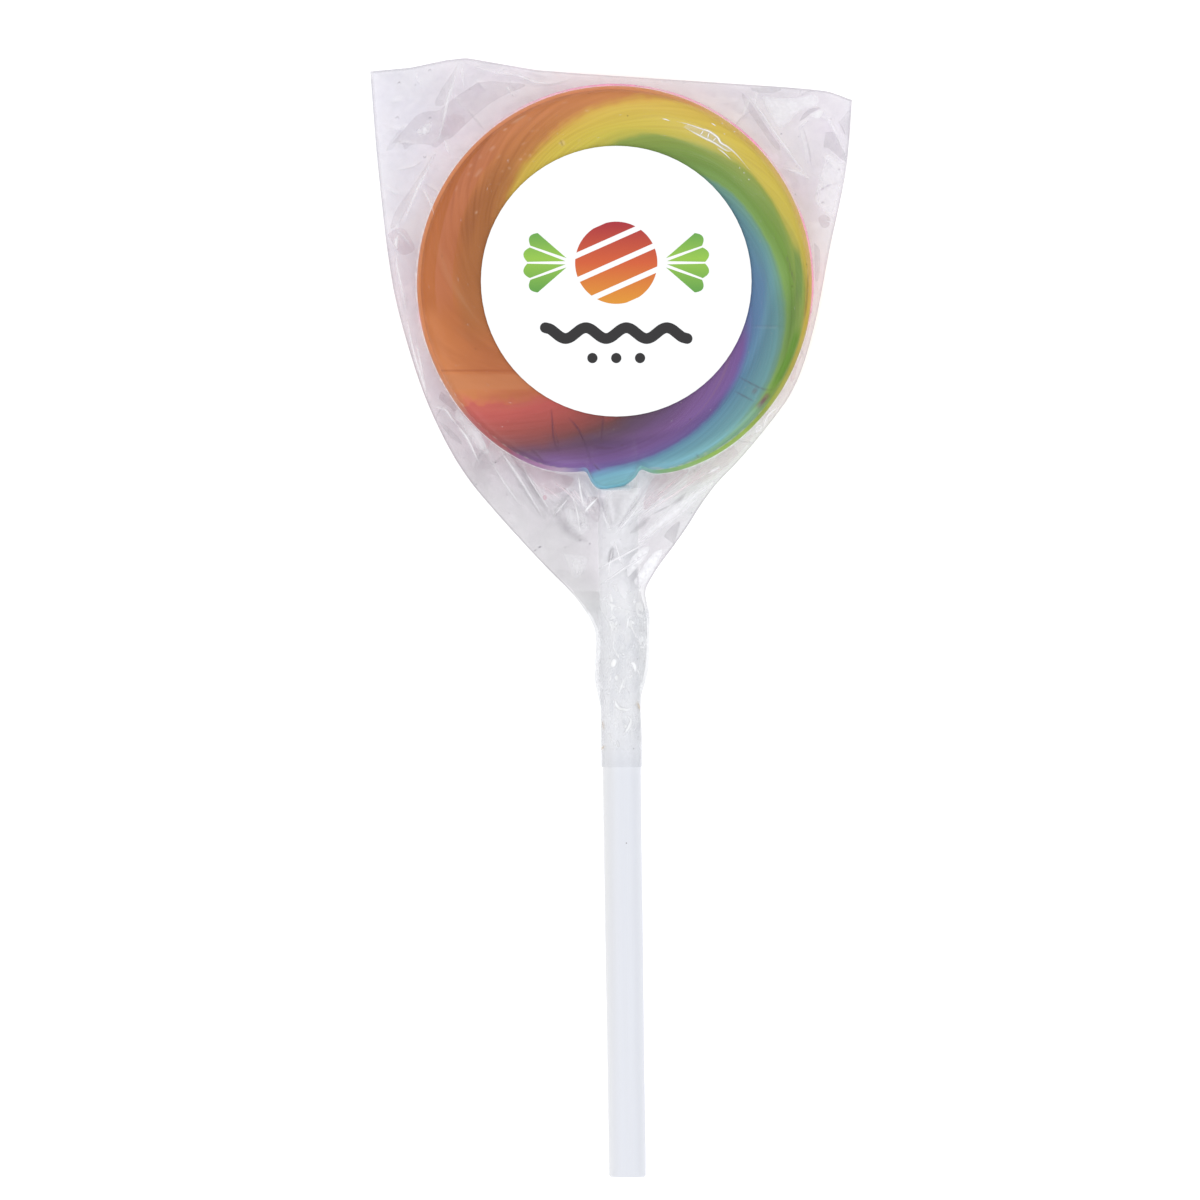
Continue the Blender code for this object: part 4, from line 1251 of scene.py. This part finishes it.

# Creases of the gathered film, drawn on the front of the tape that covers it, and given as the ones
# above: their bright lines are painted highlights and their dark ones painted shade.
NECK_CREASES = (
    (((0.6, -62.2), (0, -63.6)), 1, 0.3, 0.7),
    (((2.6, -61.4), (2.2, -64.6)), 0.7, 0.2, 0.6),
    (((1.9, -66.6), (0.9, -68.2)), 1.6, 0.2, 0.5),
    (((0.1, -69.3), (-0.5, -71.2)), 1.2, 0.4, 1),
    (((2.7, -70.4), (3.5, -70.4), (3.9, -72)), 0.8, 0.3, 0.9),
    (((4.1, -71), (4.7, -72.8)), 0.6, 0.2, 0.6),
    (((0.5, -72.2), (0.2, -73.6)), 0.9, 0.3, 0.8),
    (((2.1, -72.2), (1.4, -74.2), (0.6, -76.4)), 0.9, 0.3, 0.6),
    (((-0.2, -76.6), (0.6, -78.4), (2.2, -78.9), (3.4, -78.4)), 0.8, 0.3, 0.8),
    (((2, -79.8), (3, -80.8), (2.6, -82.2), (1.4, -83.8)), 0.9, 0.3, 0.7),
    (((0.4, -84.2), (0.8, -86.2)), 1, 0.2, 0.5),
    (((-3.5, -57), (-2.4, -56.4)), 0.9, 0.2, 1),
    (((2, -57), (3.2, -56.6)), 0.9, 0.2, 1),
    (((3.3, -58.6), (4, -59.3)), 0.8, 0.2, 0.7),
    (((-2.6, -58.8), (-1.2, -57.7)), 0.6, 0.2, 0.6),
    (((-0.6, -61), (0.8, -59.6)), 0.6, 0.2, 0.5),
    (((3.3, -66.4), (3.9, -69.2)), 1.5, -0.2, -0.4),
    (((-0.7, -70.6), (0, -73.6)), 0.9, -0.2, -0.4),
    (((2.3, -63.2), (2.2, -64.8)), 0.5, -0.1, -0.45),
    (((5.8, -60), (6.2, -62.4)), 0.9, -0.1, -0.4),
    (((5.9, -72.4), (6.1, -73.8)), 0.7, -0.1, -0.4),
    (((1.2, -77.2), (2.1, -75.2)), 1.8, -0.2, -0.3),
    (((1.6, -80.6), (2, -81.8)), 1, -0.2, -0.3),
    (((0.4, -64.6), (1, -66.2)), 1, -0.2, -0.25),
)
# Brownish stains on the tape, given the same way.
TAPE_STAINS = (
    (((4.1, -77.3), (4.9, -79.2)), 0.4, 0, 0.8),
    (((-2.3, -80.9), (-2, -82.7)), 0.45, 0, 0.5),
    (((-2.7, -86.4), (-1.8, -85.5)), 0.4, 0, 0.7),
)


def neck_section(y):
    """The middle and half-width of the bound neck at each y."""
    left, right = tape.reach(0, 1, y, blur=1.5 * MM)
    bag_left, bag_right = bag.reach(0, 1, np.maximum(y, bag_low.y + 1 * MM), blur=1.5 * MM)
    above = y > tape_high.y
    left, right = np.where(above, bag_left, left), np.where(above, bag_right, right)
    return (left + right) / 2, (right - left) / 2


def neck_height(y):
    low, high = tape.reach(2, 1, np.minimum(y, tape_high.y - 0.5 * MM), blur=1.5 * MM)
    return (high - low) / 2


def neck_grid(rows, spokes):
    """The angle round the neck of each spoke, and how far down it each row lies, from 0 to 1."""
    angle = np.linspace(0.0, 2 * math.pi, spokes, endpoint=False)[None, :]
    return angle, np.linspace(0.0, 1.0, rows)[:, None]


def tube(y, middle, half_width, half_height, centre_z):
    """Rings of points round a line along y."""
    spokes = half_width.shape[1]
    angle = np.linspace(0.0, 2 * math.pi, spokes, endpoint=False)[None, :]
    x = middle[:, None] + half_width * np.cos(angle)
    z = centre_z + half_height * np.sin(angle)
    return np.stack([x, y[:, None] + 0 * x, z + 0 * x], axis=-1)


def pleats(angle, way, count, seed):
    """Ridges along the neck, uneven and slowly wandering round it, from 0 to 1."""
    draws = np.random.default_rng(seed)
    total = np.zeros(np.broadcast(angle, way).shape)
    for _ in range(count):
        at = draws.uniform(0, 2 * math.pi)
        drift = draws.uniform(-0.9, 0.9)
        width = draws.uniform(0.06, 0.22)
        start, length = draws.uniform(-0.2, 0.8), draws.uniform(0.15, 0.7)
        off = np.abs((angle - at - drift * way + math.pi) % (2 * math.pi) - math.pi)
        span = np.sin(math.pi * np.clip((way - start) / length, 0.0, 1.0))
        total = np.maximum(total, span * np.clip(1 - off / width, 0.0, 1.0))
    return total


def crumpled(points, grain, stretch):
    """A net of thin ridges, from 0 to 1, with meshes of about this size, longer along y."""
    scale = np.array([1.0, 1.0 / stretch, 1.0]) / grain
    values = np.array([noise.noise(Vector(p)) for p in points.reshape(-1, 3) * scale])
    return np.clip(1.0 - 5.0 * np.abs(values), 0.0, 1.0).reshape(points.shape[:-1])


def make_neck(material):
    y = np.linspace(NECK_START, tape_low.y + 3 * MM, NECK_ROWS)
    middle, half = neck_section(y)
    tall = neck_height(y)
    angle, way = neck_grid(NECK_ROWS, NECK_SPOKES)
    smooth = tube(y, middle, half[:, None] - 0.3 * MM + 0 * angle, tall[:, None] - 0.3 * MM, AXIS_HEIGHT)
    ridge = np.maximum(0.7 * pleats(angle, way, 16, seed=3), 0.25 * crumpled(smooth, 3.0 * MM, 1.6))
    ridge *= mixed(0.2, 1.0, ease(smooth[..., 0], -3.5 * MM, -1 * MM))
    inset = (0.95 - 0.60 * ridge + 0.15 * np.sin(5 * angle + 11 * way)) * MM
    inset *= 1 - 0.5 * ease(way, 0.75, 1.0)
    stick = stick_radius(y) + 0.06 * MM
    aside = abs(middle + y * math.tan(STICK_TILT))
    across = np.maximum(half[:, None] - inset, (stick + aside)[:, None])
    up = np.maximum(tall[:, None] - inset, stick[:, None])
    points = tube(y, middle, across, up, AXIS_HEIGHT)
    faces = grid_faces(NECK_ROWS, NECK_SPOKES, closed=True)
    new_piece("film_neck", points, faces, material, stored={"ridge": ridge})


def neck_material():
    s = Surface("gathered_film")
    ridge = s.stored("ridge")
    x, y, z = s.xyz()
    stretched = s.vector(x, y * 0.45, z)
    streak = s.noise(0.9 * MM, stretched, detail=4.0, roughness=0.65).between(0.35, 0.68)
    lump = s.noise(2.6 * MM, stretched, detail=2.0).between(0.40, 0.65)
    # The film over the stick is painted lighter, against the shade on the stick beneath; the whitened
    # ridges and the glints are painted highlights and the bluish grey blobs among them painted shade.
    over_stick = from_stick(x, y).between(4.2 * MM, 3.0 * MM)
    crumple = x.between(-1.8 * MM, -0.4 * MM)
    bluish = s.noise(2.6 * MM, stretched, detail=2.0, distortion=1.2).between(0.48, 0.60) * crumple
    glint = s.noise(2.2 * MM, s.vector(x, y * 0.7, z), detail=1.0, distortion=1.8)
    glint = glint.between(0.60, 0.66) * crumple
    fleck = s.noise(1.1 * MM, stretched, detail=3.0).between(0.69, 0.75)
    tint = s.layers(
        linear(208, 208, 210),
        (over_stick, 246, 246, 248),
        (bluish * 0.35 + x.between(3.0 * MM, 4.4 * MM) * 0.15, 192, 197, 210),
        ((ridge * 0.3 + streak * 0.15 + glint).clamped(), 255, 255, 255),
        (fleck * 0.5, 160, 160, 166),
    )
    cover = lump * 0.06 + 0.24 + ridge * 0.05 + fleck * 0.10 + glint * 0.5
    cover = cover * y.between(-87 * MM, -82 * MM) * y.between(-53 * MM, -60 * MM)
    shader = s.principled(
        Base_Color=tint,
        Roughness=0.22,
        Normal=s.relief(streak, 0.04 * MM),
    )
    return s.finish_clear(shader, cover.clamped())


def make_tape(material):
    y = np.linspace(tape_high.y, tape_low.y, TAPE_ROWS)
    middle, half = neck_section(y)
    tall = neck_height(y)
    angle, way = neck_grid(TAPE_ROWS, TAPE_SPOKES)
    ripple = 0.10 * np.sin(3 * angle + 9 * way) + 0.06 * np.sin(17 * way + 2 * angle)
    ripple += 0.10 * pleats(angle, way, 40, seed=11)
    inset = (0.22 - ripple) * MM * (1 - 0.7 * ease(way, 0.7, 0.9))
    points = tube(y, middle, half[:, None] - inset, tall[:, None] - inset, AXIS_HEIGHT)
    _, bright, dark = add_creases(points[..., 0], points[..., 1], NECK_CREASES)
    front = ease(points[..., 2], AXIS_HEIGHT, AXIS_HEIGHT + 1.5 * MM)
    faces = grid_faces(TAPE_ROWS, TAPE_SPOKES, closed=True)
    stain = add_creases(points[..., 0], points[..., 1], TAPE_STAINS)[1]
    stored = {"stain": stain * front, "bright": bright * front, "dark": dark * front}
    new_piece("tape_band", points, faces, material, replaces="tape", stored=stored)


def tape_material():
    s = Surface("clear_tape")
    smear = s.noise(3.0 * MM, detail=3.0, distortion=0.8).between(0.40, 0.75)
    speck = s.cells(1.9 * MM).between(0.10, 0.05)
    stain, bright, dark = s.stored("stain"), s.stored("bright"), s.stored("dark")
    # The bright and dark marks from the creases are a painted highlight and painted shade; the stains and
    # specks are the tape's own.
    tint = s.layers(
        linear(206, 207, 212),
        (smear, 232, 233, 238),
        (speck * 0.8, 118, 108, 104),
        (stain, 196, 160, 84),
        (dark, 176, 180, 192),
        (bright, 255, 255, 255),
    )
    shader = s.principled(
        Base_Color=tint,
        Metallic=0.10,
        Roughness=0.14 + smear * 0.08,
        Normal=s.relief(smear, 0.05 * MM),
    )
    x, y, _ = s.xyz()
    beside = from_stick(x, y).between(2.9 * MM, 3.6 * MM)
    beside = beside * (1.0 - x.between(1 * MM, 3 * MM) * window(y, -73 * MM, -62 * MM, 2 * MM) * 0.8)
    cover = 0.16 + smear * 0.10 + speck * 0.3 + beside * 0.16 + stain * 0.4
    cover = cover * y.between(-57 * MM, -63 * MM) + bright.between(0.15, 0.65) * 0.65 + dark * 0.3
    return s.finish_clear(shader, cover.clamped())


STICK_HEAD_RADIUS = (stick_high.z - stick_low.z) / 2
STICK_FOOT_RADIUS = 3.4 * MM
STICK_BORE = 2.4 * MM
STICK_BORE_SHOWN = 10 * MM
STICK_ROUNDING = 0.4 * MM
STICK_ROWS = 150
STICK_SPOKES = 96


def stick_radius(y):
    return mixed(STICK_HEAD_RADIUS, STICK_FOOT_RADIUS, (stick_high.y - y) / (stick_high.y - stick_low.y))


def make_stick(material):
    """A tube with softly rounded ends, a little slimmer towards its free end."""
    head, foot, soft = stick_high.y, stick_low.y, STICK_ROUNDING
    run = np.linspace(head - soft, foot + soft, STICK_ROWS)
    outer = stick_radius(run)
    turn = np.linspace(0.0, math.pi / 2, 6)
    bore_end = foot + STICK_BORE_SHOWN
    rows = [(head, 0.0)]
    rows += [(head - soft * (1 - math.cos(t)), outer[0] - soft * (1 - math.sin(t))) for t in turn]
    rows += list(zip(run, outer))
    rows += [(foot + soft * (1 - math.sin(t)), outer[-1] - soft * (1 - math.cos(t))) for t in turn]
    rows += [(foot, STICK_BORE), (bore_end, STICK_BORE), (bore_end, 0.0)]
    y = np.array([row[0] for row in rows])
    radius = np.array([row[1] for row in rows])[:, None]
    middle = -y * math.tan(STICK_TILT)
    dent = 0.02 * MM * np.sin(y / (6 * MM))[:, None]
    radius = radius + np.zeros((1, STICK_SPOKES))
    tall = radius * mixed(0.5, 1.0, ease(-y, 37.4 * MM, 38.3 * MM))[:, None]
    points = tube(y, middle, radius - dent * (radius > 0), tall, AXIS_HEIGHT)
    faces = grid_faces(len(rows), STICK_SPOKES, closed=True)
    stick = new_piece("stick_tube", points, faces, material, replaces="stick")
    stick.data.set_sharp_from_angle(angle=math.radians(50))


def stick_material():
    s = Surface("white_stick_plastic")
    x, y, z = s.xyz()
    drawn = s.vector(x, y * 0.04, z)
    lines = s.noise(0.7 * MM, drawn, detail=3.0).between(0.3, 0.7)
    specks = s.cells(5.5 * MM).between(0.035, 0.02)
    # The right side is painted lighter and bluer, a painted reflection of light from the right; the part
    # under the tape and film is painted whiter, against the shade the film casts on it.
    tint = s.layers(
        linear(222, 222, 223),
        (x.between(-2.0 * MM, 1.2 * MM), 224, 226, 233),
        (lines * 0.35, 223, 224, 230),
        (specks * 0.7, 110, 100, 96),
        (y.between(-92 * MM, -80 * MM), 248, 248, 250),
    )
    return s.finish(s.principled(
        Base_Color=tint,
        Roughness=0.36 + lines * 0.06,
        Normal=s.relief(lines, 0.02 * MM),
    ))


label_low, label_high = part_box("label")
LABEL_MIDDLE = (label_low + label_high) / 2
PRINT_LIFT = 0.01 * MM
DOT_CORNERS = 28
# The pleated ends of the printed sweet: their reach in mm, their spread to each side in degrees, how
# many wedges they have, half the gap between two of them in degrees, and how far out they start.
WRAPPER_REACH = 9.4
WRAPPER_SPREAD = 40.0
WRAPPER_WEDGES = 4
WRAPPER_GAP = 1.1
WRAPPER_START = 1.7


def label_material():
    s = Surface("gloss_paper")
    fibre = s.noise(0.35 * MM, detail=4.0).between(0.35, 0.65)
    cloud = s.noise(6 * MM, detail=2.0).between(0.3, 0.7)
    tint = s.layers(linear(252, 252, 252), (fibre * 0.4, 248, 248, 249), (cloud * 0.3, 253, 253, 253))
    return s.finish(s.principled(
        Base_Color=tint,
        Roughness=0.30 + fibre * 0.08,
        Normal=s.relief(fibre, 0.01 * MM),
    ))


def ink_material(name, stops, low, high):
    """Printed ink that fades from one colour to another between two heights on the label."""
    s = Surface(name)
    _, y, _ = s.xyz()
    share = ((y - low) / (high - low)).clamped()
    grain = s.noise(0.25 * MM, detail=3.0).between(0.3, 0.7)
    colour = s.stained(grain * 0.10, s.ramp(share, stops), (0.8, 0.8, 0.8))
    return s.finish(s.principled(Base_Color=colour, Roughness=0.32))


def flat_print(name, outlines, material):
    """Fields of ink on the label, each from an outline of (x, y) points in millimetres."""
    points, faces = [], []
    top = label_high.z + PRINT_LIFT
    for outline in outlines:
        start = len(points)
        for x, y in outline:
            points.append((LABEL_MIDDLE.x + x * MM, LABEL_MIDDLE.y + y * MM, top))
        faces.append(tuple(range(start, len(points))))
    new_piece(name, points, faces, material)


def disc(cx, cy, radius):
    turns = np.linspace(0.0, 2 * math.pi, DOT_CORNERS, endpoint=False)
    return [(cx + radius * math.cos(t), cy + radius * math.sin(t)) for t in turns]


def fan(cx, cy, facing):
    """The pleated end of a wrapped sweet: wedges side by side, each with a rounded outer edge."""
    wedges = []
    width = 2 * WRAPPER_SPREAD / WRAPPER_WEDGES
    for i in range(WRAPPER_WEDGES):
        start = -WRAPPER_SPREAD + i * width + WRAPPER_GAP
        end = -WRAPPER_SPREAD + (i + 1) * width - WRAPPER_GAP
        arc = []
        for t in np.linspace(start, end, 13):
            bulge = math.sin(math.pi * (t - start) / (end - start))
            out = WRAPPER_REACH * (0.93 + 0.09 * bulge)
            turn = math.radians(t)
            arc.append((cx + facing * out * math.cos(turn), cy + out * math.sin(turn)))
        middle = math.radians((start + end) / 2)
        tip = (cx + facing * WRAPPER_START * math.cos(middle), cy + WRAPPER_START * math.sin(middle))
        wedge = [tip] + arc
        wedges.append(wedge if facing > 0 else wedge[::-1])
    return wedges


def stripe(cy, radius, low, high, slant):
    """A band across a disc between two heights, its ends round with the disc, and turned by slant."""
    right = np.linspace(math.asin(low / radius), math.asin(high / radius), 17)
    turns = [*right, *(math.pi - right[::-1])]
    return [(radius * math.cos(t + slant), cy + radius * math.sin(t + slant)) for t in turns]


def round_end(at, towards, width):
    """Points round the end of a line of ink that runs in this direction."""
    heading = math.atan2(towards[1], towards[0])
    turns = heading + np.linspace(-math.pi / 2, math.pi / 2, 9)[1:-1]
    return [(at[0] + width / 2 * math.cos(t), at[1] + width / 2 * math.sin(t)) for t in turns]


def ribbon(points, width):
    """A line of ink with round ends."""
    line = smooth_line(points, steps=8)
    along, across = directions(line)
    off = across * width / 2
    end = round_end(line[-1], along[-1], width)
    start = round_end(line[0], -along[0], width)
    return [*(line - off), *end, *(line + off)[::-1], *start]


def make_print():
    """A generic wrapped sweet over a wavy rule and three dots."""
    middle, radius, slant = 3.4, 7.6, math.radians(24)
    low, high = LABEL_MIDDLE.y + (middle - radius) * MM, LABEL_MIDDLE.y + (middle + radius) * MM
    leaf = [(0.0, linear(62, 142, 66)), (0.55, linear(150, 198, 72)), (1.0, linear(70, 148, 72))]
    flame = [(0.0, linear(226, 150, 42)), (0.50, linear(212, 92, 46)), (1.0, linear(168, 32, 48))]
    coal = [(0.0, linear(34, 32, 34)), (1.0, linear(40, 38, 40))]
    fans = [*fan(radius + 0.1, middle, 1.0), *fan(-radius - 0.1, middle, -1.0)]
    flat_print("print_fans", fans, ink_material("ink_leaf", leaf, low, high))
    bands = [(-7.5, -4.7), (-3.7, -0.5), (0.5, 3.7), (4.7, 7.5)]
    body = [stripe(middle, radius, start, end, slant) for start, end in bands]
    flat_print("print_body", body, ink_material("ink_flame", flame, low, high))
    dark = ink_material("ink_charcoal", coal, low, high)
    wave = [(x, -9.6 + 1.0 * math.sin(x * 0.84)) for x in np.linspace(-13.1, 13.1, 29)]
    flat_print("print_rule", [ribbon(wave, 2.0)], dark)
    flat_print("print_dots", [disc(x, -14.2, 0.95) for x in (-4.4, 0.0, 4.4)], dark)


# ---------------------------------------------------------------------------------------------
# Studio
# ---------------------------------------------------------------------------------------------

VIEW_WIDTH = 222.2 * MM
CAMERA_AT = (-2.7 * MM, -58.6 * MM)
CAMERA_HEIGHT = 2.40
SENSOR = 36.0


def make_floor():
    bpy.ops.mesh.primitive_plane_add(size=6.0, location=(0.0, 0.0, 0.0))
    floor = bpy.context.object
    floor.name = "floor"
    s = Surface("lit_table")
    cloud = s.noise(0.6, detail=2.0).between(0.3, 0.7)
    tint = s.mix(cloud, (0.80, 0.80, 0.80), (0.82, 0.82, 0.82))
    floor.data.materials.append(s.finish(s.principled(
        Base_Color=tint, Roughness=0.9, Specular_IOR_Level=0.1,
        Emission_Color=(1.0, 1.0, 1.0), Emission_Strength=0.42)))


def make_softbox(name, at, aim, size, power, colour=(1.0, 1.0, 1.0)):
    light = bpy.data.lights.new(name, "AREA")
    light.shape = "RECTANGLE"
    light.size, light.size_y = size
    light.energy = power
    light.color = colour
    lamp = bpy.data.objects.new(name, light)
    lamp.location = at
    lamp.rotation_euler = (Vector(aim) - Vector(at)).to_track_quat("-Z", "Y").to_euler()
    bpy.context.scene.collection.objects.link(lamp)


def make_lights():
    world = bpy.data.worlds.new("studio")
    world.use_nodes = True
    background = world.node_tree.nodes["Background"]
    background.inputs["Color"].default_value = (0.98, 0.99, 1.0, 1.0)
    background.inputs["Strength"].default_value = 0.63
    bpy.context.scene.world = world
    middle = (0.0, -0.03, 0.0)
    make_softbox("key", (0.165, 0.245, 0.96), middle, (0.15, 0.15), 0.5)
    make_softbox("left", (-0.62, 0.28, 0.82), middle, (0.90, 0.90), 2.45)
    make_softbox("right", (0.66, -0.22, 0.80), middle, (0.90, 0.90), 2.45, (0.96, 0.98, 1.0))
    make_softbox("foot", (-0.30, -0.72, 0.78), middle, (0.90, 0.60), 2.35)


def make_camera():
    camera = bpy.data.cameras.new("camera")
    camera.sensor_width = SENSOR
    camera.lens = SENSOR * (CAMERA_HEIGHT - AXIS_HEIGHT) / VIEW_WIDTH
    camera.clip_start = 0.01
    camera.clip_end = 10.0
    eye = bpy.data.objects.new("camera", camera)
    eye.location = (*CAMERA_AT, CAMERA_HEIGHT)
    bpy.context.scene.collection.objects.link(eye)
    bpy.context.scene.camera = eye


bpy.context.scene.view_settings.view_transform = "Standard"
make_floor()
make_lights()
make_camera()
make_candy(candy_material())
gathered = gathered_creases()
strewn = [*CREASES, *loose_creases(50)]
film_creases = [*strewn, *gathered]
film = film_material()
folded = fold_material()
make_film_front(film, film_creases)
make_film_back(film)
make_folds(folded, film_creases)
make_fan(folded, gathered, film_creases)
make_strips("film_creases", strewn, folded, film_creases)
make_strips("film_glints", shoulder_glints(), folded, film_creases)
make_blush(blush_material(), film_creases)
make_neck(neck_material())
make_tape(tape_material())
make_stick(stick_material())
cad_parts["label"].data.materials.clear()
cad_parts["label"].data.materials.append(label_material())
make_print()
